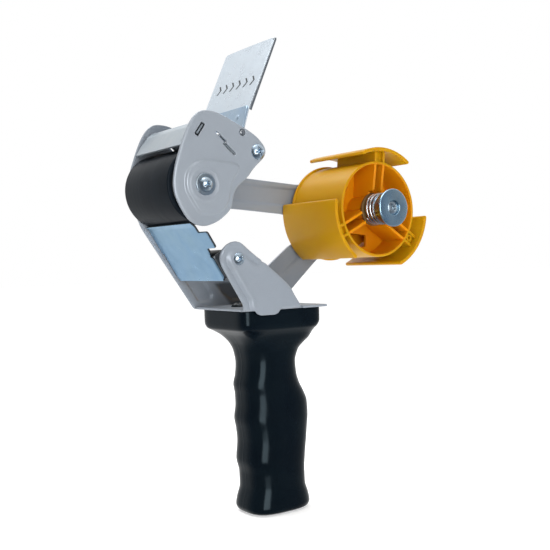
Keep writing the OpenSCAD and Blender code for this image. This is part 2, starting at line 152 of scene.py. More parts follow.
def soften(loop, r=2.5, it=3, keep=()):
    """Cuts the corners of a closed loop, at most r from each corner, and again it times."""
    pts = [np.array(p, float) for p in loop]
    for k in range(it):
        out = []
        n = len(pts)
        lim = r / (2 ** k)
        for i in range(n):
            p, a, b = pts[i], pts[i - 1], pts[(i + 1) % n]
            if k == 0 and i in keep:
                out.append(p)
                continue
            la, lb = np.linalg.norm(a - p), np.linalg.norm(b - p)
            if la < 1e-6 or lb < 1e-6:
                continue
            ta, tb = min(0.25 * la, lim), min(0.25 * lb, lim)
            ca = np.dot(a - p, b - p) / (la * lb)
            if ca < -0.9995:
                out.append(p)
                continue
            out.append(p + (a - p) / la * ta)
            out.append(p + (b - p) / lb * tb)
        pts = out
    return [tuple(p) for p in pts]


def resample(loop, step, closed=True):
    out = []
    n = len(loop)
    for i in range(n if closed else n - 1):
        a, b = np.array(loop[i], float), np.array(loop[(i + 1) % n], float)
        k = max(1, int(math.ceil(np.linalg.norm(b - a) / step)))
        out += [tuple(a + (b - a) * j / k) for j in range(k)]
    if not closed:
        out.append(tuple(loop[-1]))
    return out


def normals2(loop, closed=True):
    """Unit left normals at each vertex, and the mitre factor."""
    a = np.asarray(loop, float)
    if closed:
        d = np.roll(a, -1, 0) - a
        e0, e1 = np.roll(d, 1, 0), d
    else:
        d = np.diff(a, axis=0)
        e0 = np.vstack([d[:1], d])
        e1 = np.vstack([d, d[-1:]])
    e0 = e0 / np.maximum(np.linalg.norm(e0, axis=1, keepdims=True), 1e-9)
    e1 = e1 / np.maximum(np.linalg.norm(e1, axis=1, keepdims=True), 1e-9)
    n0 = np.c_[-e0[:, 1], e0[:, 0]]
    n1 = np.c_[-e1[:, 1], e1[:, 0]]
    m = n0 + n1
    m = m / np.maximum(np.linalg.norm(m, axis=1, keepdims=True), 1e-9)
    c = np.clip((m * n0).sum(1), 0.5, 1)
    return m, 1 / c


def inset(loop, d):
    m, k = normals2(loop)
    return np.asarray(loop, float) + m * (k * d)[:, None]


def seg_dist(p, loop, closed=True):
    """Distance of points p (n, 2) to a polyline."""
    p = np.asarray(p, float).reshape(-1, 2)
    a = np.asarray(loop, float)
    b = np.roll(a, -1, 0)
    if not closed:
        a, b = a[:-1], b[:-1]
    best = np.full(len(p), 1e9)
    for s, e in zip(a, b):
        d = e - s
        t = np.clip(((p - s) @ d) / max(d @ d, 1e-12), 0, 1)
        q = s + t[:, None] * d
        best = np.minimum(best, np.hypot(*(p - q).T))
    return best


def inside(p, loop):
    p = np.asarray(p, float).reshape(-1, 2)
    a = np.asarray(loop, float)
    b = np.roll(a, -1, 0)
    c = np.zeros(len(p), bool)
    for (x0, y0), (x1, y1) in zip(a, b):
        if abs(y1 - y0) < 1e-12:
            continue
        hit = ((y0 > p[:, 1]) != (y1 > p[:, 1])) & (p[:, 0] < (x1 - x0) * (p[:, 1] - y0) / (y1 - y0) + x0)
        c ^= hit
    return c


def sdf(p, loop):
    """Signed distance, positive inside."""
    d = seg_dist(p, loop)
    return np.where(inside(p, loop), d, -d)


def smooth01(t):
    t = np.clip(t, 0, 1)
    return t * t * (3 - 2 * t)


def circle2(c, r, n=40, a0=0.0):
    return [(c[0] + r * math.cos(a0 + 2 * math.pi * i / n), c[1] + r * math.sin(a0 + 2 * math.pi * i / n)) for i in range(n)]


def sheet(outer, holes=(), t=1.5, height=None, rim=0.3, step=1.6, grid=2.4, extra=(), place=None, rim_n=3, soft=True):
    """A sheet with rounded rims. (u, v) is the flat outline and w the side: w = 0 is the outer face and w = t the
    inner one. height(points) moves both faces outwards by that much. place maps (u, v, w) to the row frame."""
    outer = ccw(outer)
    holes = [ccw(h)[::-1] for h in holes]
    loops = [resample(outer, step)] + [resample(h, min(step, 1.0)) for h in holes]
    height = height or (lambda p: np.zeros(len(p)))
    ins = [inset(l, rim) for l in loops]
    pts = [tuple(p) for l in ins for p in l]
    edges = []
    n = 0
    for l in ins:
        k = len(l)
        edges += [(n + i, n + (i + 1) % k) for i in range(k)]
        n += k
    lo, hi = np.min(loops[0], 0), np.max(loops[0], 0)
    cand = []
    if grid:
        row = 0
        v = lo[1] + grid / 2
        while v < hi[1]:
            u = lo[0] + (grid / 2 if row % 2 else 0)
            while u < hi[0]:
                cand.append((u, v))
                u += grid
            v += grid * 0.87
            row += 1
    ex = [tuple(p) for e in extra for p in e]
    if ex and cand:
        e = np.array(ex)
        c = np.array(cand)
        keep = np.ones(len(c), bool)
        for i in range(0, len(c), 500):
            d = np.hypot(c[i:i + 500, None, 0] - e[None, :, 0], c[i:i + 500, None, 1] - e[None, :, 1]).min(1)
            keep[i:i + 500] = d > grid * 0.42
        cand = [tuple(p) for p in c[keep]]
    cand = ex + cand
    if cand:
        c = np.array(cand)
        ok = inside(c, ins[0]) & (seg_dist(c, ins[0]) > 0.35)
        for l in ins[1:]:
            ok &= ~inside(c, l) & (seg_dist(c, l) > 0.35)
        pts += [tuple(p) for p in c[ok]]
    out = delaunay_2d_cdt([Vector(p) for p in pts], edges, [], 0, 1e-6, True)
    ov, of, oid = out[0], out[2], out[3]
    P = np.array([(p.x, p.y) for p in ov])
    F = np.array([f for f in of if len(f) == 3])
    cen = P[F].mean(1)
    ok = inside(cen, ins[0])
    for l in ins[1:]:
        ok &= ~inside(cen, l)
    where = {}
    for k, ids in enumerate(oid):
        for i in ids:
            where[i] = k
    # a triangle on an outline edge is kept or dropped by which side of the edge it is on
    rim_e = {(where[a], where[b]) for a, b in edges}
    for q, (a, b, c) in enumerate(F.tolist()):
        e3 = ((a, b), (b, c), (c, a))
        if any(x in rim_e for x in e3):
            ok[q] = True
        elif any((y, x) in rim_e for x, y in e3):
            ok[q] = False
    F = F[ok]
    H = height(P)
    g = Geo()
    verts = [(p[0], p[1], -h) for p, h in zip(P, H)] + [(p[0], p[1], t - h) for p, h in zip(P, H)]
    m = len(P)
    faces = [tuple(int(i) for i in f) for f in F] + [tuple(m + int(i) for i in reversed(f)) for f in F]
    base = 0
    for li, l in enumerate(ins):
        k = len(l)
        hl = height(np.asarray(loops[li]))
        rings = [[where[base + i] for i in range(k)]]
        spec = []
        for j in range(1, rim_n + 1):
            a = math.pi / 2 * j / rim_n
            spec.append((rim * (1 - math.sin(a)), rim * (1 - math.cos(a))))
        for d, w in spec:
            q = inset(loops[li], d)
            rings.append([len(verts) + i for i in range(k)])
            verts += [(p[0], p[1], w - h) for p, h in zip(q, hl)]
        for d, w in reversed(spec):
            q = inset(loops[li], d)
            rings.append([len(verts) + i for i in range(k)])
            verts += [(p[0], p[1], t - w - h) for p, h in zip(q, hl)]
        rings.append([m + where[base + i] for i in range(k)])
        for a, b in zip(rings[:-1], rings[1:]):
            for i in range(k):
                j = (i + 1) % k
                faces.append((a[i], a[j], b[j], b[i]))
        base += k
    if place:
        verts = [tuple(place(*p)) for p in verts]
    g.add(verts, faces)
    return g


def fillet_path(path, r, n=6, closed=False):
    """Rounds the corners of a polyline with radius r (or a list of radii)."""
    P = [np.array(p, float) for p in path]
    out = []
    m = len(P)
    for i, p in enumerate(P):
        if not closed and i in (0, m - 1):
            out.append(tuple(p))
            continue
        rr = r[i] if isinstance(r, (list, tuple)) else r
        a, b = P[i - 1], P[(i + 1) % m]
        u, v = a - p, b - p
        lu, lv = np.linalg.norm(u), np.linalg.norm(v)
        if lu < 1e-9 or lv < 1e-9 or rr <= 0:
            out.append(tuple(p))
            continue
        u, v = u / lu, v / lv
        c = float(np.clip(u @ v, -1, 1))
        half = math.acos(c) / 2
        if abs(half - math.pi / 2) < 0.01:
            out.append(tuple(p))
            continue
        d = min(rr / math.tan(half), 0.48 * lu, 0.48 * lv)
        r2 = d * math.tan(half)
        mid = (u + v) / np.linalg.norm(u + v)
        cc = p + mid * (r2 / math.sin(half))
        s, e = p + u * d - cc, p + v * d - cc
        a0, a1 = math.atan2(s[1], s[0]), math.atan2(e[1], e[0])
        da = (a1 - a0 + math.pi) % (2 * math.pi) - math.pi
        for k in range(n + 1):
            t = a0 + da * k / n
            out.append((cc[0] + r2 * math.cos(t), cc[1] + r2 * math.sin(t)))
    return out


def ribbon(path, t, y0, y1, rim=0.25, side=0, step=1.5, place=None, wcut=None, lift=None, ny=1, cap=0.15):
    """A bent sheet: the path (x, z) swept along Y. The sheet's thickness t lies to the left of the path (side +1),
    to the right (-1) or half and half (0). wcut(s) narrows both ends, lift(s, y) moves points along the normal."""
    path = resample(path, step, closed=False)
    a = np.array(path)
    nrm, _ = normals2(path, closed=False)
    s = np.r_[0, np.cumsum(np.linalg.norm(np.diff(a, axis=0), axis=1))]
    off = {0: -t / 2, 1: 0.0, -1: -t}[side]
    sec = []
    k = 4
    ys = [y0 + rim + (y1 - y0 - 2 * rim) * i / ny for i in range(ny + 1)]
    for i in range(k + 1):
        q = math.pi / 2 * i / k
        sec.append((y1 - rim + rim * math.sin(q), t - rim + rim * math.cos(q)))
    for i in range(k + 1):
        q = math.pi / 2 * i / k
        sec.append((y1 - rim + rim * math.cos(q), rim - rim * math.sin(q)))
    sec += [(y, 0) for y in reversed(ys[1:-1])]
    for i in range(k + 1):
        q = math.pi / 2 * i / k
        sec.append((y0 + rim - rim * math.sin(q), rim - rim * math.cos(q)))
    for i in range(k + 1):
        q = math.pi / 2 * i / k
        sec.append((y0 + rim - rim * math.cos(q), t - rim + rim * math.sin(q)))
    sec += [(y, t) for y in ys[1:-1]]
    m = len(sec)
    verts, faces = [], []
    n = len(a)
    order = [(0, cap)] + [(i, 0) for i in range(n)] + [(n - 1, cap)]
    mid = (y0 + y1) / 2
    dirs = np.diff(a, axis=0)
    for idx, (i, c) in enumerate(order):
        p = a[i].copy()
        if c == 0 and i == 0:
            p = p + dirs[0] / np.linalg.norm(dirs[0]) * cap
        if c == 0 and i == n - 1:
            p = p - dirs[-1] / np.linalg.norm(dirs[-1]) * cap
        w = wcut(s[i]) if wcut else 0.0
        for (y, q) in sec:
            yy = mid + (y - mid) * (1 - (w + c) / ((y1 - y0) / 2))
            qq = t / 2 + (q - t / 2) * (1 - 2 * c / t)
            h = off + qq + (lift(s[i], yy) if lift else 0.0)
            verts.append((p[0] + nrm[i][0] * h, yy, p[1] + nrm[i][1] * h))
    r = len(order)
    for i in range(r - 1):
        for j in range(m):
            k2 = (j + 1) % m
            faces.append((i * m + j, i * m + k2, (i + 1) * m + k2, (i + 1) * m + j))
    faces.append(tuple(range(m))[::-1])
    faces.append(tuple((r - 1) * m + j for j in range(m)))
    if place:
        verts = [tuple(place(*p)) for p in verts]
    g = Geo()
    g.add(verts, faces)
    return g


def lathe(profile, c=(0, 0), seg=96, r=0.0, n=4, closed=True, wave=None):
    """Closed profile of (y, radius), swept round the axis along Y through c = (x, z). r rounds its corners."""
    prof = fillet_path(profile, r, n, closed=True) if (r if not isinstance(r, list) else True) else list(profile)
    m = len(prof)
    verts, faces = [], []
    axis = {}
    for j, (y, q) in enumerate(prof):
        if q < 1e-6:
            axis[j] = len(verts)
            verts.append((c[0], y, c[1]))
    ring = {}
    for i in range(seg):
        a = 2 * math.pi * i / seg
        for j, (y, q) in enumerate(prof):
            if j in axis:
                ring[i, j] = axis[j]
            else:
                qq = q + (wave(y, q, a) if wave else 0)
                ring[i, j] = len(verts)
                verts.append((c[0] + qq * math.sin(a), y, c[1] + qq * math.cos(a)))
    for i in range(seg):
        k = (i + 1) % seg
        for j in range(m):
            l = (j + 1) % m
            f = [ring[i, j], ring[i, l], ring[k, l], ring[k, j]]
            f = [x for x, y in zip(f, f[1:] + f[:1]) if x != y]
            if len(set(f)) >= 3:
                faces.append(tuple(dict.fromkeys(f)))
    g = Geo()
    g.add(verts, faces)
    return g


def ring_prof(y0, y1, ri, ro):
    return [(y0, ri), (y1, ri), (y1, ro), (y0, ro)]


def disc_prof(y0, y1, ro):
    return [(y0, 0), (y1, 0), (y1, ro), (y0, ro)]


def prism(loop, y0, y1, rim=0.3, step=3.0, holes=()):
    """Outline in (x, z) extruded along Y, with rounded rims."""
    return sheet(loop, holes, t=y1 - y0, rim=rim, step=step, grid=0, place=lambda u, v, w: (u, y0 + w, v))


def tube(path, w, side=10, close_ends=True, start_n=None):
    """Round wire of radius w along a 3D path, in mm."""
    P = np.asarray(path, float)
    T = np.gradient(P, axis=0)
    T /= np.linalg.norm(T, axis=1, keepdims=True)
    up = np.array(start_n if start_n is not None else (0.0, 1.0, 0.0))
    verts, faces = [], []
    n = None
    for i, (p, t) in enumerate(zip(P, T)):
        if n is None:
            n = up - t * (up @ t)
        else:
            n = n - t * (n @ t)
        n = n / np.linalg.norm(n)
        b = np.cross(t, n)
        for j in range(side):
            a = 2 * math.pi * j / side
            verts.append(tuple(p + w * (math.cos(a) * n + math.sin(a) * b)))
    m = len(P)
    for i in range(m - 1):
        for j in range(side):
            k = (j + 1) % side
            faces.append((i * side + j, i * side + k, (i + 1) * side + k, (i + 1) * side + j))
    # rounded ends
    for end, sgn in ((0, -1), (m - 1, 1)):
        c = len(verts)
        t = T[end] * sgn
        q = P[end] + t * w * 0.55
        ringp = [Vector(verts[end * side + j]) for j in range(side)]
        cen = Vector(P[end])
        for j in range(side):
            verts.append(tuple(cen + (ringp[j] - cen) * 0.72 + Vector(t) * w * 0.4))
        verts.append(tuple(q))
        for j in range(side):
            k = (j + 1) % side
            faces.append((end * side + j, end * side + k, c + k, c + j))
            faces.append((c + j, c + k, c + side))
    g = Geo()
    g.add(verts, faces)
    return g


def helix(c, r, w, y0, y1, turns, seg=36, side=10, dead=0.0, phase=0.0, legs=()):
    """Coil round the Y axis through c. dead turns at each end lie flat against each other."""
    pts = []
    m = int(turns * seg)
    pitch_dead = 2 * w * 1.02
    live = turns - 2 * dead
    span = (y1 - y0 - 2 * w) - 2 * dead * pitch_dead
    for i in range(m + 1):
        k = i / seg
        if k < dead:
            y = k * pitch_dead
        elif k > turns - dead:
            y = dead * pitch_dead + span + (k - turns + dead) * pitch_dead
        else:
            y = dead * pitch_dead + span * (k - dead) / max(live, 1e-6)
        a = 2 * math.pi * k + phase
        pts.append((c[0] + r * math.sin(a), y0 + w + y, c[1] + r * math.cos(a)))
    return tube(pts, w, side)


def head(c, y, d, R, h, rim=0.5, cross=None, seg=72, rings=26, bore=0.0, dome=1.25, spin=20.0, slot_w=0.26, slot_l=0.62, depth=0.62):
    """Domed pan head with a recessed cross, its flat face at y and its crown at y + d * h."""
    verts, faces = [], []
    Rs = R * dome
    rr = [R * (i / rings) for i in range(1, rings + 1)]
    c0 = math.sqrt(max(Rs * Rs - R * R, 0))
    edge = h - (Rs - c0)

    def top(r, a):
        z = h - (Rs - math.sqrt(max(Rs * Rs - r * r, 0)))
        e = R - r
        if e < rim:
            q = 1 - e / rim
            z -= rim * 0.9 * (1 - math.sqrt(max(1 - q * q, 0)))
        x, v = r * math.cos(a), r * math.sin(a)
        if cross:
            for b in (math.radians(spin), math.radians(spin + 90)):
                s, t = x * math.cos(b) + v * math.sin(b), -x * math.sin(b) + v * math.cos(b)
                wv = slot_w * R * (1 - 0.25 * abs(s) / R)
                fall = smooth01((wv / 2 - abs(t)) / (0.07 * R)) * smooth01((slot_l * R - abs(s)) / (0.16 * R))
                z -= float(fall) * depth * h * (1 - 0.45 * abs(s) / (slot_l * R)) * 0.6
            z -= float(smooth01((0.30 * R - r) / (0.16 * R))) * 0.28 * h
        return z

    verts.append((0, 0, top(0, 0)))
    for r in rr:
        for k in range(seg):
            a = 2 * math.pi * k / seg
            verts.append((r * math.cos(a), r * math.sin(a), top(r, a)))
    for k in range(seg):
        faces.append((0, 1 + k, 1 + (k + 1) % seg))
    for i in range(rings - 1):
        for k in range(seg):
            l = (k + 1) % seg
            a0, b0 = 1 + i * seg, 1 + (i + 1) * seg
            faces.append((a0 + k, b0 + k, b0 + l, a0 + l))
    last = 1 + (rings - 1) * seg
    b0 = len(verts)
    for zz, q in ((min(0.25, edge * 0.3), R), (0.0, R - 0.12)):
        for k in range(seg):
            a = 2 * math.pi * k / seg
            verts.append((q * math.cos(a), q * math.sin(a), zz))
    for (p, q) in ((last, b0), (b0, b0 + seg)):
        for k in range(seg):
            l = (k + 1) % seg
            faces.append((p + k, q + k, q + l, p + l))
    cc = len(verts)
    verts.append((0, 0, 0))
    for k in range(seg):
        faces.append((b0 + seg + k, cc, b0 + seg + (k + 1) % seg))
    g = Geo()
    g.add([(c[0] + u, y + d * w, c[1] + v) for u, v, w in verts], faces)
    return g


def box_geo(x0, x1, y0, y1, z0, z1, r=0.3, n=3):
    """Box with rounded edges."""
    loop = fillet_path([(x0, z0), (x1, z0), (x1, z1), (x0, z1)], max(r, 0.05), n, closed=True)
    return sheet(loop, t=y1 - y0, rim=min(0.6 * r, 0.45 * (y1 - y0)), step=50, grid=0, place=lambda u, v, w: (u, y0 + w, v))


# ================================================================ materials
def new_mat(name):
    m = bpy.data.materials.new(name)
    m.use_nodes = True
    nt = m.node_tree
    nt.nodes.clear()
    out = nt.nodes.new("ShaderNodeOutputMaterial")
    bsdf = nt.nodes.new("ShaderNodeBsdfPrincipled")
    nt.links.new(bsdf.outputs[0], out.inputs[0])
    return m, nt, bsdf


def coords(nt, scale=(1, 1, 1), rot=(0, 0, 0)):
    tc = nt.nodes.new("ShaderNodeTexCoord")
    mp = nt.nodes.new("ShaderNodeMapping")
    mp.inputs["Scale"].default_value = scale
    mp.inputs["Rotation"].default_value = rot
    nt.links.new(tc.outputs["Object"], mp.inputs["Vector"])
    return mp.outputs["Vector"]


def noise(nt, vec, scale, detail=4.0, rough=0.55, distort=0.0):
    n = nt.nodes.new("ShaderNodeTexNoise")
    n.inputs["Scale"].default_value = scale
    n.inputs["Detail"].default_value = detail
    n.inputs["Roughness"].default_value = rough
    n.inputs["Distortion"].default_value = distort
    nt.links.new(vec, n.inputs["Vector"])
    return n.outputs["Fac"]


def remap(nt, val, a, b, c, d, smooth=False):
    m = nt.nodes.new("ShaderNodeMapRange")
    m.inputs["From Min"].default_value = a
    m.inputs["From Max"].default_value = b
    m.inputs["To Min"].default_value = c
    m.inputs["To Max"].default_value = d
    if smooth:
        m.interpolation_type = "SMOOTHSTEP"
    nt.links.new(val, m.inputs["Value"])
    return m.outputs["Result"]


def ramp(nt, val, stops):
    r = nt.nodes.new("ShaderNodeValToRGB")
    e = r.color_ramp.elements
    while len(e) < len(stops):
        e.new(0.5)
    for el, (p, c) in zip(e, stops):
        el.position = p
        el.color = (*c, 1)
    nt.links.new(val, r.inputs["Fac"])
    return r.outputs["Color"]


def mix(nt, fac, a, b, mode="MIX"):
    m = nt.nodes.new("ShaderNodeMix")
    m.data_type = "RGBA"
    m.blend_type = mode
    for sock, v in ((m.inputs[0], fac), (m.inputs[6], a), (m.inputs[7], b)):
        if isinstance(v, (int, float)):
            sock.default_value = v
        elif isinstance(v, tuple):
            sock.default_value = (*v, 1)
        else:
            nt.links.new(v, sock)
    return m.outputs[2]


def math_node(nt, op, a, b=None):
    m = nt.nodes.new("ShaderNodeMath")
    m.operation = op
    for i, v in enumerate((a, b)):
        if v is None:
            continue
        if isinstance(v, (int, float)):
            m.inputs[i].default_value = v
        else:
            nt.links.new(v, m.inputs[i])
    return m.outputs[0]


def bump(nt, bsdf, height, strength, dist, prev=None):
    b = nt.nodes.new("ShaderNodeBump")
    b.inputs["Strength"].default_value = strength
    b.inputs["Distance"].default_value = dist
    nt.links.new(height, b.inputs["Height"])
    if prev is not None:
        nt.links.new(prev, b.inputs["Normal"])
    nt.links.new(b.outputs[0], bsdf.inputs["Normal"])
    return b.outputs[0]


def edges(nt, lo=0.52, hi=0.62):
    g = nt.nodes.new("ShaderNodeNewGeometry")
    return remap(nt, g.outputs["Pointiness"], lo, hi, 0, 1, True)


def shade(c, k):
    return tuple(min(1.0, v * k) for v in c)


def painted(name, base, rough=0.4, metal=0.25, peel=0.2, wear=(0.55, 0.58, 0.62), wear_amt=0.35, tint=(0.93, 1.05), coat=0.0, painted_shade=False):
    """Powder-coated or lacquered sheet: orange peel, soft tone drift, rubbed rims."""
    m, nt, b = new_mat(name)
    v = coords(nt)
    drift = noise(nt, v, 28, 3, 0.6)
    fleck = noise(nt, v, 2600, 2, 0.5)
    smudge = noise(nt, v, 90, 5, 0.65, 0.4)
    col = ramp(nt, drift, [(0.3, shade(base, tint[0])), (0.7, shade(base, tint[1]))])
    col = mix(nt, remap(nt, fleck, 0.35, 0.75, 0.0, 0.22), col, shade(base, 1.22))
    col = mix(nt, remap(nt, smudge, 0.60, 0.80, 0.0, 0.16), col, shade(base, 0.72))
    rub = math_node(nt, "MULTIPLY", edges(nt, 0.54, 0.66), remap(nt, noise(nt, v, 420, 5, 0.7), 0.42, 0.62, 0.1, 1.0))
    col = mix(nt, math_node(nt, "MULTIPLY", rub, wear_amt), col, wear)
    if painted_shade:
        # painted shade: the inside face of the far side plate is darkened low down, at the top of the far cheek and in
        # a patch under the guide plate above the base, where shade falls between the parts
        sx = nt.nodes.new("ShaderNodeSeparateXYZ")
        nt.links.new(v, sx.inputs[0])
        X, Y, Z = sx.outputs
        gn = nt.nodes.new("ShaderNodeNewGeometry")
        sn = nt.nodes.new("ShaderNodeSeparateXYZ")
        nt.links.new(gn.outputs["True Normal"], sn.inputs[0])
        far = math_node(nt, "MULTIPLY", remap(nt, Y, 0.018, 0.025, 0, 1, True), remap(nt, sn.outputs[1], 0.0, -0.3, 0, 1, True))
        low = math_node(nt, "MULTIPLY", remap(nt, Z, -0.014, -0.030, 0, 1, True), remap(nt, X, -0.098, -0.086, 0, 1, True))
        low = math_node(nt, "MULTIPLY", low, far)
        top = math_node(nt, "MULTIPLY", math_node(nt, "MULTIPLY", remap(nt, Z, 0.020, 0.030, 0, 1, True), remap(nt, X, -0.090, -0.105, 0, 1, True)), far)
        t = math_node(nt, "ADD", X, math_node(nt, "MULTIPLY", Z, 0.82))
        rec = math_node(nt, "MULTIPLY", remap(nt, t, -0.1288, -0.1252, 0, 1, True), remap(nt, Z, -0.0425, -0.0445, 0, 1, True))
        rec = math_node(nt, "MULTIPLY", math_node(nt, "MULTIPLY", rec, far), remap(nt, X, -0.050, -0.058, 0, 1, True))
        col = mix(nt, math_node(nt, "MULTIPLY", low, 0.34), col, shade(base, 0.12))
        col = mix(nt, math_node(nt, "MULTIPLY", top, 0.22), col, shade(base, 0.12))
        col = mix(nt, math_node(nt, "MULTIPLY", rec, 0.72), col, shade(base, 0.06))
        b.inputs["Specular IOR Level"].default_value = 0.35
    nt.links.new(col, b.inputs["Base Color"])
    r = remap(nt, noise(nt, v, 160, 4, 0.6), 0.3, 0.7, rough - 0.05, rough + 0.07)
    nt.links.new(r, b.inputs["Roughness"])
    b.inputs["Metallic"].default_value = metal
    b.inputs["Coat Weight"].default_value = coat
    b.inputs["Coat Roughness"].default_value = 0.12
    n1 = bump(nt, b, noise(nt, v, 620, 2, 0.5), peel, 0.00012)
    bump(nt, b, noise(nt, v, 70, 2, 0.5), 0.10, 0.0006, n1)
    return m


def plated(name, base, rough=0.26, tint_a=(0.55, 0.66, 0.80), tint_b=(0.80, 0.80, 0.70), amt=0.45, scratch=True, patch=34, grain=0.12, metal=1.0, fleck=0.25, hollow_shade=0.35):
    """Zinc-plated or bright steel: passivation tints, cloudy roughness, fine scratches."""
    m, nt, b = new_mat(name)
    v = coords(nt)
    film = noise(nt, v, patch, 4, 0.6, 0.8)
    col = ramp(nt, film, [(0.30, tint_a), (0.50, base), (0.72, tint_b)])
    col = mix(nt, amt, base, col)
    col = mix(nt, remap(nt, noise(nt, v, 1500, 3, 0.6), 0.45, 0.75, 0.0, fleck), col, shade(base, 0.70))
    # painted shade: concave hollows are darkened, standing in for the shade that falls in them
    hollow_shade_mask = math_node(nt, "SUBTRACT", 1.0, edges(nt, 0.42, 0.50))
    col = mix(nt, math_node(nt, "MULTIPLY", hollow_shade_mask, hollow_shade), col, shade(base, 0.35))
    nt.links.new(col, b.inputs["Base Color"])
    cloud = remap(nt, noise(nt, v, 150, 5, 0.65), 0.3, 0.7, rough - 0.07, rough + 0.12)
    nt.links.new(cloud, b.inputs["Roughness"])
    b.inputs["Metallic"].default_value = metal
    n1 = bump(nt, b, noise(nt, v, 900, 3, 0.6), grain, 0.00006)
    if scratch:
        sv = coords(nt, (1, 0.03, 1), (0.3, 0.2, 0.9))
        bump(nt, b, noise(nt, sv, 3200, 2, 0.6), 0.08, 0.00004, n1)
    return m


def brushed(name, base, axis, rough=0.3, scale=2400, amt=0.2, edge=None):
    """Steel with a directional grain along axis (0, 1 or 2)."""
    m, nt, b = new_mat(name)
    s = [1, 1, 1]
    s[axis] = 0.02
    v = coords(nt)
    g = noise(nt, coords(nt, tuple(s)), scale, 3, 0.6)
    col = mix(nt, remap(nt, g, 0.3, 0.7, 0, 1), shade(base, 0.86), shade(base, 1.1))
    col = mix(nt, remap(nt, noise(nt, v, 60, 4, 0.6), 0.5, 0.8, 0, 0.25), col, shade(base, 0.7))
    nt.links.new(col, b.inputs["Base Color"])
    nt.links.new(remap(nt, g, 0.2, 0.8, rough - 0.06, rough + 0.1), b.inputs["Roughness"])
    b.inputs["Metallic"].default_value = 1.0
    if edge:
        b.inputs["Specular Tint"].default_value = (*edge, 1)
    bump(nt, b, g, amt, 0.00005)
    return m


def plastic(name, base, deep, rough=0.36, sss=0.0, peel=0.1, spec=0.5, flow=40, wear=None, coat=0.0, dust=None, metal=0.0, tint=None, inner_shade=None):
    """Injection-moulded plastic: faint flow marks, moulded texture, rubbed edges."""
    m, nt, b = new_mat(name)
    v = coords(nt)
    f = noise(nt, coords(nt, (1, 0.4, 1)), flow, 4, 0.55, 0.6)
    col = ramp(nt, f, [(0.28, deep), (0.62, base)])
    col = mix(nt, remap(nt, noise(nt, v, 1800, 2, 0.5), 0.45, 0.75, 0, 0.12), col, shade(base, 0.8))
    if inner_shade:
        # painted shade and bounced light: inside the drum the colour turns a deeper orange
        sx = nt.nodes.new("ShaderNodeSeparateXYZ")
        nt.links.new(v, sx.inputs[0])
        rad = math_node(nt, "SQRT", math_node(nt, "ADD", math_node(nt, "MULTIPLY", sx.outputs[0], sx.outputs[0]), math_node(nt, "MULTIPLY", sx.outputs[2], sx.outputs[2])))
        col = mix(nt, remap(nt, rad, 0.0292, 0.0282, 0, 1, True), col, inner_shade)
    if wear:
        e = math_node(nt, "MULTIPLY", edges(nt, 0.54, 0.68), remap(nt, noise(nt, v, 300, 4, 0.6), 0.35, 0.65, 0.1, 0.8))
        col = mix(nt, math_node(nt, "MULTIPLY", e, 0.5), col, wear)
    if dust:
        col = mix(nt, remap(nt, noise(nt, v, 700, 6, 0.75), 0.58, 0.82, 0, 0.35), col, dust)
    nt.links.new(col, b.inputs["Base Color"])
    nt.links.new(remap(nt, noise(nt, v, 120, 5, 0.6), 0.3, 0.7, rough - 0.05, rough + 0.08), b.inputs["Roughness"])
    b.inputs["Specular IOR Level"].default_value = spec
    if tint:
        b.inputs["Specular Tint"].default_value = (*tint, 1)
    b.inputs["Metallic"].default_value = metal
    b.inputs["Coat Weight"].default_value = coat
    b.inputs["Coat Roughness"].default_value = 0.15
    if sss:
        b.inputs["Subsurface Weight"].default_value = sss
        b.inputs["Subsurface Radius"].default_value = (1.0, 0.34, 0.04)
        b.inputs["Subsurface Scale"].default_value = 0.0025
    n1 = bump(nt, b, noise(nt, v, 1100, 2, 0.5), peel, 0.00008)
    bump(nt, b, noise(nt, v, 55, 2, 0.5), 0.12, 0.0008, n1)
    return m


def rubber(name, base, rough=0.5, spec=0.22, tint=(0.85, 0.95, 1.0)):
    """Turned rubber or lacquer sleeve: fine rings along the axis."""
    m, nt, b = new_mat(name)
    v = coords(nt)
    rings = noise(nt, coords(nt, (0.01, 1, 0.01)), 1700, 3, 0.6)
    col = mix(nt, remap(nt, noise(nt, v, 70, 5, 0.65), 0.35, 0.7, 0, 1), shade(base, 0.82), shade(base, 1.25))
    col = mix(nt, remap(nt, rings, 0.45, 0.8, 0, 0.25), col, shade(base, 1.6))
    spots = noise(nt, v, 900, 3, 0.7)
    col = mix(nt, remap(nt, spots, 0.66, 0.8, 0, 0.3), col, shade(base, 2.2))
    nt.links.new(col, b.inputs["Base Color"])
    nt.links.new(remap(nt, rings, 0.3, 0.7, rough - 0.05, rough + 0.08), b.inputs["Roughness"])
    b.inputs["Specular IOR Level"].default_value = spec
    b.inputs["Specular Tint"].default_value = (*tint, 1)
    n1 = bump(nt, b, rings, 0.10, 0.00006)
    bump(nt, b, noise(nt, v, 1200, 2, 0.5), 0.10, 0.00006, n1)
    return m


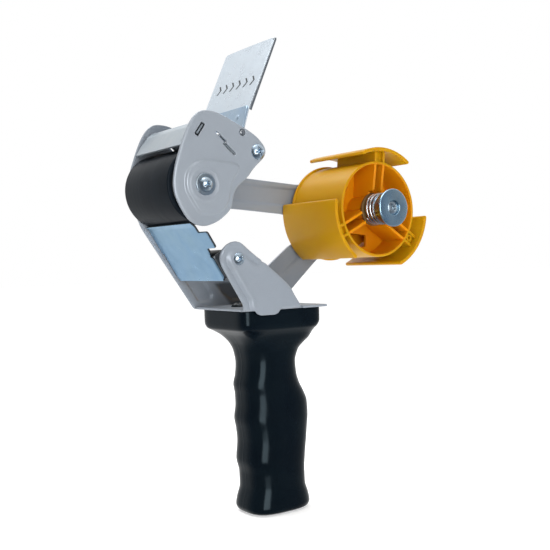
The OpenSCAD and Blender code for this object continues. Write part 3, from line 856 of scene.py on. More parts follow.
M = {
    "paint": painted("grey_paint", (0.312, 0.345, 0.385), rough=0.38, metal=0.30, peel=0.14, wear=(0.60, 0.62, 0.66), wear_amt=0.25, tint=(0.97, 1.03)),
    # this paint carries painted shade on the inside face of the far side plate
    "paint_far": painted("grey_paint_frame", (0.305, 0.34, 0.385), rough=0.40, metal=0.30, peel=0.14, wear=(0.56, 0.58, 0.62), wear_amt=0.25, tint=(0.96, 1.03), painted_shade=True),
    "roller": rubber("roller_rubber", (0.006, 0.009, 0.013), 0.38, spec=0.08),
    "black": plastic("black_moulding", (0.006, 0.008, 0.010), (0.004, 0.006, 0.007), rough=0.38, peel=0.12, spec=0.3),
    "bright": plated("bright_steel", (0.60, 0.62, 0.64), rough=0.24, amt=0.15, patch=50),
    "nylon": plastic("white_nylon", (0.72, 0.71, 0.66), (0.64, 0.63, 0.58), rough=0.42, sss=0.15),
    "zinc": plated("zinc_hardware", (0.52, 0.63, 0.73), rough=0.27, tint_a=(0.40, 0.56, 0.74), tint_b=(0.64, 0.66, 0.60), amt=0.55, patch=90, grain=0.05),
    # near-black steel with a dark edge tint: a dark blade, darkened further as painted shade for the gap under the
    # guard
    "blade": brushed("blade_steel", (0.009, 0.010, 0.012), 1, 0.22, edge=(0.02, 0.022, 0.026)),
    "guard": plated("zinc_sheet", (0.38, 0.43, 0.47), rough=0.34, tint_a=(0.32, 0.39, 0.45), tint_b=(0.42, 0.45, 0.46), amt=0.4, grain=0.04, metal=0.8, fleck=0.06, hollow_shade=0.0),
    "blue": plated("zinc_blue_sheet", (0.28, 0.46, 0.63), rough=0.32, tint_a=(0.23, 0.42, 0.64), tint_b=(0.31, 0.50, 0.57), amt=0.8, grain=0.006, metal=0.85, patch=16, fleck=0.05, scratch=False, hollow_shade=0.0),
    "flap": plated("flap_steel", (0.64, 0.715, 0.785), rough=0.30, tint_a=(0.59, 0.68, 0.76), tint_b=(0.68, 0.73, 0.77), amt=0.35, grain=0.005, metal=0.7, patch=18, fleck=0.05, scratch=False, hollow_shade=0.0),
    "bracket": plated("zinc_bracket", (0.44, 0.56, 0.68), rough=0.30, tint_a=(0.38, 0.52, 0.70), tint_b=(0.50, 0.58, 0.62), amt=0.6, grain=0.008, metal=0.8, patch=30, fleck=0.06, scratch=False, hollow_shade=0.0),
    # dark steel used as painted shade on the guide plate's edges and lug faces
    "guide_shade": plated("guide_edge_shade", (0.10, 0.11, 0.12), rough=0.36, tint_a=(0.07, 0.08, 0.10), tint_b=(0.14, 0.14, 0.13), amt=0.6, patch=60, fleck=0.1, hollow_shade=0.0),
    # darker steel used as painted shade on the flap's side returns
    "edge": plated("flap_return_shade", (0.40, 0.43, 0.46), rough=0.34, tint_a=(0.26, 0.30, 0.34), tint_b=(0.50, 0.52, 0.52), amt=0.6, patch=60, fleck=0.1, hollow_shade=0.0),
    "wire": brushed("spring_wire", (0.62, 0.63, 0.65), 1, 0.20),
    # the inner colour is painted shade and bounced light inside the drum
    "yellow": plastic("yellow_moulding", (0.53, 0.272, 0.003), (0.47, 0.232, 0.002), rough=0.34, sss=0.30, peel=0.08, spec=0.28, wear=(0.66, 0.40, 0.02), dust=(0.56, 0.31, 0.02), tint=(1.0, 0.86, 0.55), inner_shade=(0.66, 0.235, 0.002)),
    "fibre": plastic("fibre_washer", (0.17, 0.10, 0.035), (0.12, 0.07, 0.022), rough=0.72, peel=0.4, spec=0.3),
    "knob": plated("zinc_knob", (0.46, 0.66, 0.80), rough=0.27, tint_a=(0.34, 0.56, 0.80), tint_b=(0.60, 0.68, 0.66), amt=0.6, patch=60, grain=0.10),
    "grip": plastic("black_grip", (0.003, 0.006, 0.009), (0.002, 0.004, 0.007), rough=0.19, peel=0.05, spec=0.17, wear=(0.018, 0.022, 0.026), dust=(0.007, 0.010, 0.014), tint=(0.66, 0.88, 1.0)),
    "oxide": plated("black_oxide", (0.05, 0.055, 0.06), rough=0.34, tint_a=(0.03, 0.035, 0.045), tint_b=(0.07, 0.065, 0.06), amt=0.5, patch=90),
}
M["ink"] = plastic("print_ink", (0.03, 0.035, 0.04), (0.02, 0.024, 0.03), rough=0.5, peel=0.05)


# ================================================================ shared sizes (mm), as in the CAD
HW, HO, EH = 27.0, 28.5, 1.2
ROLLER, REAR, FLAPC, GUIDE = (-129.3, 11.8), (-93.8, 31.0), (-103.5, 41.5), (-108.8, -28.8)
BASE_TOP, BASE_BOT = -57.1, -58.6
SLOT_C, SLOT_A = (-130.95, 41.7), math.radians(54.9)
GUARD_C, GUARD_A = (-114.9, 35.0), math.radians(-41.1)

CHEEK = [(-124.3, 52.1), (-127.8, 52.1), (-130.7, 51.3), (-134.2, 48.7), (-136.9, 45.0), (-139.2, 40.8),
         (-141.6, 35.2), (-144.4, 27.5), (-146.3, 21.9), (-147.6, 15.9), (-148.0, 10.7), (-147.0, 5.6), (-144.6, 0.4),
         (-141.4, -4.7), (-138.6, -7.8), (-134.7, -10.0), (-129.5, -10.8), (-124.0, -9.4), (-119.4, -7.2),
         (-114.9, -3.8), (-112.1, -0.7), (-111.1, 2.1), (-110.7, 5.2), (-109.6, 8.3), (-107.9, 11.0), (-105.2, 13.3),
         (-100.3, 16.9), (-97.5, 20.6), (-94.1, 23.9), (-91.3, 26.2), (-89.0, 28.6), (-88.1, 31.0), (-88.3, 33.5),
         (-90.4, 36.4), (-93.5, 39.4), (-97.7, 42.0), (-102.5, 44.3), (-111.2, 48.2), (-117.3, 50.8), (-121.0, 51.8)]
EMBOSS = [(-141.5, 13.5), (-140.9, 17.4), (-138.9, 20.6), (-135.3, 23.6), (-130.3, 25.2), (-122.3, 25.4),
          (-115.2, 24.9), (-107.6, 23.9), (-105.9, 21.6), (-107.1, 18.5), (-110.4, 14.9), (-112.1, 11.5),
          (-112.9, 6.9), (-114.1, 2.1), (-116.7, -1.9), (-120.8, -4.3), (-126.5, -5.4), (-131.5, -5.0),
          (-134.6, -2.3), (-137.6, 2.4), (-140.8, 7.4), (-141.5, 10.6)]
EAR = [(-106.1, BASE_BOT), (-106.4, -54.4), (-109.3, -49.5), (-113.1, -43.3), (-116.8, -37.4), (-119.6, -32.6),
       (-120.7, -29.0), (-120.3, -26.0), (-118.8, -23.3), (-116.2, -21.0), (-113.2, -19.5), (-110.2, -19.0),
       (-107.2, -19.7), (-104.2, -21.6), (-99.2, -25.6), (-95.2, -28.5), (-88.5, -33.4), (-81.8, -38.6),
       (-75.5, -43.9), (-72.9, -46.8), (-70.8, -50.3), (-68.3, -54.0), (-66.0, BASE_BOT)]
TONGUE = [(-81.4, BASE_BOT), (-82.8, -60.3), (-85.2, -61.2), (-94.6, -61.2), (-97.2, -60.2), (-98.6, BASE_BOT)]
PLATE = CHEEK[:14] + [(-140.0, -8.8), (-133.4, -18.4), (-106.7, -57.4), (-106.1, BASE_BOT), (-47.0, BASE_BOT),
                      (-42.0, -57.6), (-31.8, -49.2), (-14.0, -33.6), (-2, -24), (13, -21), (23, -10), (24, 5),
                      (17, 17), (6, 23), (-8, 22), (-25.0, 19.1), (-63.1, 22.1), (-80.0, 23.6), (-86.0, 26.5)] + CHEEK[31:]
WINDOW = [(-105.0, 4.6), (-70.8, 2.4), (-39.7, -0.2), (-24, -3.0), (-22.0, -8.0), (-26.0, -18.0), (-32.9, -21.5),
          (-49.9, -33.6), (-54.0, -36.8), (-59.0, -38.8), (-90.0, -39.5), (-95.6, -38.2), (-111.5, -14.0),
          (-112.5, -6.0), (-110.0, 1.5)]
STRUT = [(-131.6, -12.0), (-118.6, -12.0), (-92.6, -50.0), (-93.6, -54.4), (-103.2, -54.4)]
LOWER = [(-89.4, -43.0), (-86.6, -49.4), (-79.0, -54.6), (-57.0, -54.6), (-52.4, -49.6), (-57.6, -43.0)]


def capsule(a, b, w, r=2.6):
    a, b = np.array(a, float), np.array(b, float)
    d = (b - a) / np.linalg.norm(b - a)
    n = np.array([-d[1], d[0]]) * w / 2
    return fillet_path([a + n, a - n, b - n, b + n], r, 6, closed=True)


def turned(loop, c, a):
    return [(c[0] + u * math.cos(a) - v * math.sin(a), c[1] + u * math.sin(a) + v * math.cos(a)) for u, v in loop]


SLOT_BLADE = turned(fillet_path([(-4.1, -1.35), (4.1, -1.35), (4.1, 1.2), (-4.1, 1.2)], 0.35, 3, closed=True), SLOT_C, SLOT_A)
SLOT_GUARD = turned(fillet_path([(-8.3, 0.05), (-0.6, -0.1), (-0.6, -1.5), (8.6, -1.5), (8.6, 0.1), (0.3, 0.2), (0.3, 1.3),
                                 (-8.3, 1.1)], 0.3, 3, closed=True), GUARD_C, GUARD_A)
cheek = soften(CHEEK, 1.2, 3)
emboss = soften(EMBOSS, 1.6, 3)
strut = fillet_path(STRUT, 3.0, 5, closed=True)
lower = fillet_path(LOWER, 3.5, 5, closed=True)
arm_up = capsule((-85, 14.2), (-23, 10.2), 12)
arm_low = capsule((-48, -39.4), (-19, -16.6), 12)


def offsets(loop, ds, step=1.3):
    base = ccw(resample(loop, step))
    return [[tuple(p) for p in inset(base, d)] for d in ds]


def ring_lip(p, c, r, w, h):
    d = np.hypot(p[:, 0] - c[0], p[:, 1] - c[1])
    return h * np.exp(-((d - r) / w) ** 2)


def cheek_height(p):
    h = EH * smooth01((sdf(p, emboss) + 0.1) / 1.45)
    h += ring_lip(p, ROLLER, 8.6, 0.75, 0.38)
    d = np.hypot(p[:, 0] - REAR[0], p[:, 1] - REAR[1])
    h += 0.18 * (1 - smooth01((d - 5.4) / 1.2))
    # the sheet's edge is rolled back a little all round
    e = seg_dist(p, cheek)
    return h - 0.30 * (1 - smooth01(e / 1.7)) ** 2


near = sheet(cheek, [SLOT_BLADE, SLOT_GUARD, circle2(FLAPC, 1.95, 24), circle2(ROLLER, 2.3, 24), circle2(REAR, 2.3, 24)],
             t=1.5, height=cheek_height, rim=0.5, step=1.3, grid=2.0, rim_n=4,
             extra=offsets(emboss, (-0.6, -0.1, 0.3, 0.7, 1.1, 1.6, 2.2), 1.0) + offsets(cheek, (0.9, 1.4, 2.0), 1.5)
             + [circle2(ROLLER, r, 60) for r in (7.3, 8.0, 8.6, 9.2, 10.0)] + [circle2(REAR, r, 40) for r in (5.2, 6.0, 6.8)],
             place=lambda u, v, w: (u, -HO + w, v))
make("near_cheek_plate", near, "frame", ["near_cheek"], M["paint"], 40)


# ---------------------------------------------------------------- side frame
def bend_down(p, r=2.4):
    """How far the bottom edge turns in towards the base plate."""
    z = p[:, 1]
    q = np.clip((BASE_BOT + r - z) / r, 0, 1)
    return r - r * np.sqrt(1 - q * q)


def plate_height(p):
    h = EH * smooth01((sdf(p, emboss) + 0.1) / 1.45)
    for loop, e, w in ((arm_up, 1.6, 1.8), (arm_low, 1.6, 1.8), (strut, 1.3, 1.8), (lower, 1.3, 1.8)):
        h = np.maximum(h, e * smooth01((sdf(p, loop) + 0.4) / w))
    d = np.hypot(p[:, 0] - GUIDE[0], p[:, 1] - GUIDE[1])
    h = np.maximum(h, EH * (1 - smooth01((d - 5.6) / 1.6)))
    d = np.hypot(p[:, 0], p[:, 1])
    h = np.maximum(h, EH * (1 - smooth01((d - 15.5) / 2.2)))
    h -= bend_down(p) * smooth01((p[:, 0] + 108) / 2) * (1 - smooth01((p[:, 0] + 47.5) / 2))
    return h


plate_loop = soften(PLATE, 1.6, 3)
window = fillet_path(WINDOW, 4.5, 6, closed=True)
side = sheet(plate_loop, [window, SLOT_BLADE, SLOT_GUARD, circle2(FLAPC, 1.7, 24), circle2(ROLLER, 2.3, 24),
                          circle2(REAR, 2.3, 24), circle2(GUIDE, 1.8, 24), circle2((0, 0), 4.1, 32)],
             t=1.5, height=plate_height, rim=0.45, step=1.5, grid=2.6,
             extra=offsets(emboss, (-0.7, 0.2, 1.0, 1.9)) + offsets(arm_up, (-0.6, 0.2, 0.9, 1.6)) + offsets(arm_low, (-0.6, 0.2, 0.9, 1.6))
             + offsets(strut, (-0.6, 0.2, 0.9, 1.6)) + offsets(lower, (-0.6, 0.2, 0.9, 1.6))
             + [circle2(GUIDE, r, 36) for r in (5.4, 6.2, 7.0, 7.8)] + [circle2((0, 0), r, 60) for r in (15, 16, 17, 18)]
             + [[(x, z) for x in np.arange(-105, -47, 1.6)] for z in (-58.0, -57.4, -56.8, -56.1)],
             place=lambda u, v, w: (u, HO - w, v))

EAR_LOOP = fillet_path(EAR[:-1] + [EAR[-1]] + TONGUE, [0.3] + [3.0] * 4 + [3.5] * 8 + [3.0] * 9 + [0.4] + [0.5, 1.4, 2.2, 2.2, 1.4, 0.5], 5, closed=True)
ear_front = [(-104.5, -62.0), (-106.2, -53.9), (-109.3, -49.5), (-113.1, -43.3), (-116.8, -37.4), (-119.6, -32.6),
             (-120.7, -29.0), (-120.3, -26.0), (-118.8, -23.3), (-116.2, -21.0), (-113.2, -19.5), (-110.2, -19.0),
             (-107.2, -19.7), (-104.2, -21.6), (-99.2, -25.6), (-95.2, -28.5)]
ear_front_s = soften(ear_front + [(-60, -62)], 1.2, 2)


def ear_height(p):
    # a shallow gutter follows the front edge: raised rim, valley, then the raised panel
    e = seg_dist(p, ear_front, closed=False)
    fade = smooth01((-24.5 - p[:, 1]) / 7)
    gut = np.exp(-((e - 3.7) / 1.15) ** 2)
    h = 0.20 - 1.05 * gut * (0.30 + 0.70 * fade)
    h = h + 0.42 * np.exp(-((e - 6.3) / 1.3) ** 2) * fade
    h -= 0.35 * (1 - smooth01(e / 1.3)) ** 2
    rear = seg_dist(p, [(-104.2, -21.6), (-99.2, -25.6), (-95.2, -28.5), (-88.5, -33.4), (-81.8, -38.6), (-75.5, -43.9),
                        (-72.9, -46.8), (-70.8, -50.3), (-68.3, -54.0)], closed=False)
    h -= 0.40 * (1 - smooth01(rear / 2.2)) ** 2
    d = np.hypot(p[:, 0] - GUIDE[0], p[:, 1] - GUIDE[1])
    h += 0.22 * (1 - smooth01((d - 5.0) / 1.4))
    tong = ((p[:, 0] > -99.4) & (p[:, 0] < -80.6)).astype(float)
    h -= bend_down(p) * (1 - tong)
    return np.minimum(h, 0.9)


ear = sheet(EAR_LOOP, [circle2(GUIDE, 1.8, 24)], t=1.5, height=ear_height, rim=0.5, step=1.2, grid=1.8, rim_n=4,
            extra=[[tuple(q) for q in np.array(resample(ear_front, 1.3, closed=False)) + np.array(n_) * d]
                   for d in (2.5, 3.1, 3.7, 4.3, 4.9, 5.6, 6.3, 7.0, 7.8)
                   for n_ in [-normals2(resample(ear_front, 1.3, closed=False), closed=False)[0]]]
            + [[(x, z) for x in np.arange(-105, -66, 1.5)] for z in (-58.0, -57.4, -56.8, -56.1)]
            + [circle2(GUIDE, r, 36) for r in (4.8, 5.6, 6.4)],
            place=lambda u, v, w: (u, -HO + w, v))

base = sheet(fillet_path([(-106.1, -26.3), (-47.0, -26.3), (-47.0, 26.3), (-106.1, 26.3)], 1.2, 4, closed=True),
             [circle2((-92, 0), 2.2, 28), circle2((-61, 0), 2.2, 28)], t=1.5, rim=0.4, step=4, grid=6,
             place=lambda u, v, w: (u, v, BASE_TOP - w))
# near edge of the base plate behind the ear, and the bend radius inside the channel
lip = ribbon([(-65.0, 0), (-47.0, 0)], 1.5, -28.3, -25.5, rim=0.6, side=0, place=lambda x, y, z: (x, y, BASE_TOP - 0.75 + z))
body = Geo().merge(side).merge(ear).merge(base).merge(lip)
make("side_frame", body, "frame", ["frame"], M["paint_far"], 40)

# ---------------------------------------------------------------- blade and guard
BW = HW - 0.15
blade_loop = [(1.6, -BW), (1.6, -BW + 0.05)]
teeth = 26
blade_loop = [(1.6, BW)] + [(-8.4 - (1.6 if i % 2 else 0), BW - i * BW / teeth) for i in range(2 * teeth + 1)] + [(1.6, -BW)]
ca, sa = math.cos(SLOT_A), math.sin(SLOT_A)


def blade_place(u, v, w):
    # local u runs down the slope, v across, w through the sheet
    w = w - 0.5
    return (SLOT_C[0] + u * ca - w * sa, v, SLOT_C[1] + u * sa + w * ca)


def blade_grind(p):
    return -0.30 * (1 - smooth01((p[:, 0] + 10.0) / 3.2))


blade = sheet(blade_loop, [], t=0.9, rim=0.12, rim_n=2, step=3.0, grid=2.4, place=blade_place, height=blade_grind)
tabs = Geo()
for s in (-1, 1):
    tabs.merge(sheet(fillet_path([(-3.2, s * (BW - 2)), (-3.2, s * (HO - 0.1)), (3.2, s * (HO - 0.1)), (3.2, s * (BW - 2))], 0.3, 3, closed=True),
                     [], t=0.9, rim=0.12, rim_n=2, step=4, grid=0, place=blade_place))
make("serrated_blade", blade, "frame", ["cutting_blade"], M["blade"], 30)
make("blade_tabs", tabs, "frame", [], M["guard"], 30)

GUARD_PATH = [(-142.4, 32.4), (-134.1, 43.1), (-129.4, 46.6), (-126.0, 45.0), (-110.6, 31.7)]
gpath = fillet_path(GUARD_PATH, [0, 4, 3.4, 4, 0], 6)
GW = HW - 0.1


def guard_lift(s, y):
    # both ends curl up a little where they meet the cheeks
    up = 0.7 * smooth01((abs(y) - (GW - 7.0)) / 7.0) ** 1.6 * smooth01((s - 0.5) / 6) * (1 - smooth01((s - 17) / 5))
    return up


guard = ribbon(gpath, 1.2, -GW, GW - 1.3, rim=0.3, side=0, step=1.2, ny=36, lift=guard_lift)
ga = [(GUARD_C[0] + (u) * math.cos(GUARD_A) - v * math.sin(GUARD_A), GUARD_C[1] + u * math.sin(GUARD_A) + v * math.cos(GUARD_A))
      for u, v in ((1.2, -1.0), (7.4, -1.0), (7.4, -0.1), (1.2, -0.1))]
gtabs = Geo()
for s in (-1, 1):
    a, b = sorted((s * (GW - 1.5), s * (HO - 0.35)))
    gtabs.merge(prism(fillet_path(ga, 0.3, 2, closed=True), a, b, rim=0.15))
make("guard_strip", Geo().merge(guard).merge(gtabs), "frame", ["blade_guard"], M["guard"], 35)

# ---------------------------------------------------------------- flap
FL = [(-100.9, 44.2), (-97.6, 54.6), (-77.6, 98.0)]
fpath = fillet_path(FL, [0, 3, 0], 6)
FW = 26.6


def flap_cut(s):
    top = 58.5
    return 1.4 * (1 - math.sqrt(max(0.0, 1 - max(0.0, (s - (top - 1.4)) / 1.4) ** 2)))


flap = ribbon(fpath, 0.8, -FW + 0.35, FW - 0.35, rim=0.3, side=0, step=1.6, ny=26, wcut=flap_cut,
              lift=lambda s, y: 0.12 * math.cos(math.pi * y / FW) * smooth01((s - 14) / 30))
fedge = Geo()
for s in (-1, 1):
    a, b = sorted((s * FW, s * (FW - 0.6)))
    fedge.merge(prism(fillet_path([(-97.3, 55.4), (-77.7, 97.8), (-76.9, 97.4), (-76.9, 96.4), (-95.4, 55.2), (-95.6, 54.4)], 0.5, 3, closed=True), a, b, rim=0.3))
make("wipe_flap", flap, "flap", ["push_flap"], M["flap"], 35)
g = head((0, 0), 0, 1, 0.9, 0.8, rim=0.3, seg=20, rings=6, dome=1.0)
fedge.merge(g.mapped(Matrix.Translation(Vector((-78.2, -FW + 0.9, 96.85))) @ Vector((0, 1, 0)).rotation_difference(Vector((-0.9, 0, 0.43))).to_matrix().to_4x4()))
# painted shade: the side returns are coloured darker than the flap face
make("flap_returns", fedge, "flap", [], M["edge"], 35)

# a printed pull mark: six plain chevrons in the place of the maker's word
ink = Geo()
n1 = Vector((FL[1][1] - FL[2][1], 0, FL[2][0] - FL[1][0])).normalized()
d1 = Vector((FL[2][0] - FL[1][0], 0, FL[2][1] - FL[1][1])).normalized()
for k in range(6):
    y0 = 19.0 - k * 7.2
    for (ya, sa_, yb, sb) in ((y0, 17.6, y0 - 2.6, 20.6), (y0 - 2.6, 20.6, y0, 23.6)):
        pts = []
        for (yy, ss) in ((ya, sa_), (yb, sb), (yb - 1.5, sb), (ya - 1.5, sa_)):
            p = Vector((FL[1][0], 0, FL[1][1])) + d1 * ss
            bow = 0.12 * math.cos(math.pi * yy / FW) * float(smooth01((ss + 10.9 - 14) / 30))
            pts.append((p + n1 * (0.425 + bow), yy))
        q = [(p.x, yy, p.z) for p, yy in pts]
        q2 = [(p.x + n1.x * 0.03, yy, p.z + n1.z * 0.03) for p, yy in pts]
        ink.add(q + q2, [(0, 1, 2, 3), (7, 6, 5, 4), (0, 4, 5, 1), (1, 5, 6, 2), (2, 6, 7, 3), (3, 7, 4, 0)])
make("flap_print", ink, "flap", [], M["ink"], 20)

# bracket plate in front of the flap, hinge knuckles round the pin
BP = [(-102.3, 44.27), (-98.49, 56.28)]
bn = Vector((-0.953, 0, 0.302))
p0 = Vector((-100.73, 0, 44.75)) + bn * 1.02
bdir = Vector((0.302, 0, 0.953))


def br_cut(s):
    return 1.0 * smooth01((s - 10.6) / 2.0)


bpath = [(p0.x + bdir.x * s, p0.z + bdir.z * s) for s in (0.0, 12.6)]
bracket = ribbon(bpath, 1.2, -FW + 0.1, FW - 0.1, rim=0.35, side=0, step=0.8, ny=8, wcut=br_cut)
for ya, yb in ((-FW, -11.0), (11.0, FW)):
    # rolled knuckle: an open curl of the same sheet round the pin
    curl = [(FLAPC[0] + 2.3 * math.cos(math.radians(a)), FLAPC[1] + 2.3 * math.sin(math.radians(a))) for a in range(-300, 61, 15)]
    curl = [(p0.x + bdir.x * 2.5, p0.z + bdir.z * 2.5), (p0.x + bdir.x * 0.6, p0.z + bdir.z * 0.6)] + curl[::-1][3:]
    bracket.merge(ribbon(curl, 1.15, ya, yb, rim=0.3, side=0, step=0.7))
make("flap_hinge_plate", bracket, "flap", ["flap_bracket"], M["bracket"], 35)

riv = Geo()
for y in (-18, 0, 18):
    g = head((0, 0), 0, 1, 2.3, 0.35, rim=0.25, seg=40, rings=10, dome=3.0)
    # local +Y is the head's direction: aim it along the bracket's outward normal
    m = Matrix.Translation(Vector((-98.85, y, 50.6)) + bn * 1.58) @ Vector((0, 1, 0)).rotation_difference(bn).to_matrix().to_4x4()
    riv.merge(g.mapped(m))
    g = head((0, 0), 0, 1, 2.4, 0.7, rim=0.3, seg=40, rings=8, dome=1.5)
    m = Matrix.Translation(Vector((-98.85, y, 50.6)) - bn * 0.42) @ Vector((0, 1, 0)).rotation_difference(-bn).to_matrix().to_4x4()
    riv.merge(g.mapped(m))
make("rivets_of_flap", riv, "flap", ["flap_rivets"], M["bracket"], 40)


# ================================================================ roller and its hardware
roller = lathe(ring_prof(-26, 26, 18.4, 21.3), ROLLER, seg=160, r=0.9, n=5,
               wave=lambda y, q, a: (0.10 * math.cos(y * 0.17) - 0.10) if q > 20 else 0.0)
make("roller_sleeve", roller, "roller", ["roller_tube"], M["roller"], 35)

caps = Geo()
for s in (-1, 1):
    prof = [(4.05, -0.2), (8, -0.2), (8, 1.6), (15.6, 1.6), (15.6, 0), (18.4, 0), (18.4, 7), (16.6, 7), (16.6, 3.4), (8, 3.4), (8, 9), (4.05, 9)]
    prof = [(s * (25.6 - w), q) for q, w in prof]
    caps.merge(lathe(prof, ROLLER, seg=96, r=[0.2, 0.6, 0.5, 0.5, 0.5, 0.4, 0.2, 0.2, 0.3, 0.4, 0.3, 0.2], n=3))
make("roller_hub_caps", caps, "roller", ["roller_end_caps"], M["black"], 35)


def shaft(y0, y1, c, ro, ri, depth, seg=56, ch=0.35):
    """Turned shaft with a blind tapped hole in each end."""
    prof = [(y0 + depth, 0), (y0 + depth - ri * 0.5, ri), (y0 + ch, ri), (y0, ri + ch), (y0, ro - ch), (y0 + ch, ro),
            (y1 - ch, ro), (y1, ro - ch), (y1, ri + ch), (y1 - ch, ri), (y1 - depth + ri * 0.5, ri), (y1 - depth, 0)]
    return lathe(prof, c, seg=seg, r=0)


make("roller_axle", shaft(-HW - EH, HW + EH, ROLLER, 4.0, 2.0, 13), "frame", ["roller_shaft"], M["bright"], 30)
g = Geo()
for a, b in ((26.15, 28.2), (-28.2, -26.15)):
    g.merge(lathe(ring_prof(a, b, 4.05, 7.0), ROLLER, r=0.35, n=3, seg=64))
make("nylon_washers", g, "frame", ["thrust_washers"], M["nylon"], 35)

WY = HO + EH
g = Geo()
for s in (-1, 1):
    a, b = sorted((s * (WY + 0.02), s * (WY + 0.9)))
    g.merge(lathe(ring_prof(a, b, 2.1, 6.0), ROLLER, r=0.28, n=3, seg=72,
                  wave=lambda y, q, a: 0.0))
make("flat_washers", g, "frame", ["screw_washers"], M["zinc"], 35)


def thread(c, y0, y1, r, pitch=0.7, depth=0.22, seg=32):
    """Screw shank with a helical thread."""
    n = max(4, int(abs(y1 - y0) / pitch * 8))
    verts, faces = [], []
    for i in range(n + 1):
        y = y0 + (y1 - y0) * i / n
        for k in range(seg):
            a = 2 * math.pi * k / seg
            ph = (y / pitch - a / (2 * math.pi)) % 1.0
            q = r - depth * abs(2 * ph - 1) ** 0.8
            if i in (0, n):
                q = r - depth - 0.1
            verts.append((c[0] + q * math.sin(a), y, c[1] + q * math.cos(a)))
    for i in range(n):
        for k in range(seg):
            l = (k + 1) % seg
            faces.append((i * seg + k, i * seg + l, (i + 1) * seg + l, (i + 1) * seg + k))
    faces.append(tuple(range(seg)))
    faces.append(tuple(n * seg + k for k in reversed(range(seg))))
    g = Geo()
    g.add(verts, faces)
    return g


g = Geo()
for s in (-1, 1):
    g.merge(head(ROLLER, s * (WY + 0.9), s, 4.3, 2.6, rim=0.9, cross=True, seg=96, rings=34, dome=1.12, spin=28 if s < 0 else 60))
    a, b = sorted((s * (WY + 0.9 - 12.5), s * (WY + 1.1)))
    g.merge(thread(ROLLER, a, b, 2.0))
make("roller_fixings", g, "frame", ["roller_screws"], M["zinc"], 38)

g = shaft(-HW, HW, REAR, 4.0, 2.0, 12)
make("tie_rod", g, "frame", ["rear_tie_rod"], M["bright"], 30)
g = Geo()
for s in (-1, 1):
    g.merge(head(REAR, s * (HO + 0.01), s, 4.8, 2.7, rim=0.8, cross=True, seg=96, rings=34, dome=1.12, spin=12 if s < 0 else 40))
    a, b = sorted((s * (HO - 10.5), s * (HO + 0.2)))
    g.merge(thread(REAR, a, b, 2.0))
make("tie_rod_fixings", g, "frame", ["rear_screws"], M["zinc"], 38)

make("hinge_pin", lathe([(-28.5, 0), (28.5, 0), (28.5, 1.5), (-28.5, 1.5)], FLAPC, r=[0, 0, 0.5, 0.5], n=4, seg=40), "flap" if False else "frame",
     ["flap_pin"], M["bright"], 30)
sp = helix(FLAPC, 2.7, 0.5, -8.5, 8.5, 12, seg=40, side=12, dead=0.9, phase=1.1)
leg1 = [(FLAPC[0] + 2.7 * math.sin(1.1), -8.0, FLAPC[1] + 2.7 * math.cos(1.1)), (FLAPC[0] + 2.9, -8.2, FLAPC[1] + 0.0),
        (FLAPC[0] + 4.0, -8.3, FLAPC[1] - 1.2)]
make("flap_return_spring", sp, "frame", ["flap_spring"], M["wire"], 40)

# ---------------------------------------------------------------- guide plate
GA = math.radians(57.8)
GD, GN = np.array([math.cos(GA), -math.sin(GA)]), np.array([math.sin(GA), math.cos(GA)])
GP = np.array([-136.4, -9.2])
RO, LY = 1.8, 26.75
ARC = 1.2 * math.pi / 2


def guide_place(s, v, w):
    """Unrolled blank: the two side lugs turn through a bend of outer radius RO, the top lip bends away from the
    roller, and the thumb tab stays in the plate's plane."""
    sg, a = (1 if v > 0 else -1), abs(v)
    n0 = 0.0
    if s < 18.5 or a <= LY - RO:
        y, n = a, w
    elif a <= LY - RO + ARC:
        q = (a - (LY - RO)) / 1.2
        y, n = LY - RO + (RO - w) * math.sin(q), RO - (RO - w) * math.cos(q)
    else:
        y, n = LY - w, RO + a - (LY - RO + ARC)
    if s < 3.0:
        # lip: turns 22 degrees over 1.6 mm
        q = min(max((3.0 - s) / 1.6, 0.0), 1.0) * math.radians(22)
        R_ = 1.6 / math.radians(22)
        ds = R_ * math.sin(q)
        dn = R_ * (1 - math.cos(q))
        rest = max(0.0, 3.0 - s - 1.6)
        ds += rest * math.cos(q)
        dn += rest * math.sin(q)
        s2, n = 3.0 - ds - w * math.sin(q), -dn + n * math.cos(q)
        s = s2
    p = GP + GD * s + GN * n
    return (p[0], sg * y, p[1])


VO = LY - RO + ARC - RO          # v = n + VO on the side lugs
gc = np.array(GUIDE) - GP
gs, gn_ = float(gc @ GD), float(gc @ GN)
lug = [(21.9, 25.0), (22.0, 25.6), (22.0, 10.0 + VO), (22.3, 12.2 + VO), (23.4, 14.4 + VO), (25.3, 16.4 + VO)]
lug += [(gs + 6 * math.cos(a), gn_ + VO + 6 * math.sin(a)) for a in np.radians(np.linspace(124, -6, 20))]
lug += [(36.9, 8.0 + VO), (36.4, 1.6 + VO), (36.2, 25.4), (36.3, 24.9)]
tab = [(5.7, 26.7), (5.9, 27.2), (5.95, 34.4), (6.3, 35.2), (7.1, 35.6), (14.9, 35.6), (15.8, 35.2), (16.2, 34.4), (16.3, 27.0), (16.5, 26.7)]
pos = [(-1.0, 25.0), (-0.6, 25.5), (5.0, 26.7), (18.0, 26.7), (19.2, 26.1), (21.6, 25.2)] + lug + [(37.2, 24.6), (37.6, 23.8)]
neg = [(-1.0, -26.0), (-0.6, -26.4)] + [(a, -b) for a, b in tab] + [(18.0, -26.7), (19.2, -26.1), (21.6, -25.2)] + [(a, -b) for a, b in lug] + [(37.2, -24.6), (37.6, -23.8)]
gloop = neg + pos[::-1]
rows = [[(s, sg * v) for s in np.arange(19.5, 37, 1.3)] for sg in (-1, 1) for v in (24.8, 25.1, 25.5, 25.9, 26.3, 26.7, 27.1)]
rows += [[(s, v) for v in np.arange(-25.5, 25.5, 2.0)] for s in (0.2, 0.8, 1.4, 1.8, 2.2, 2.6, 3.0)]
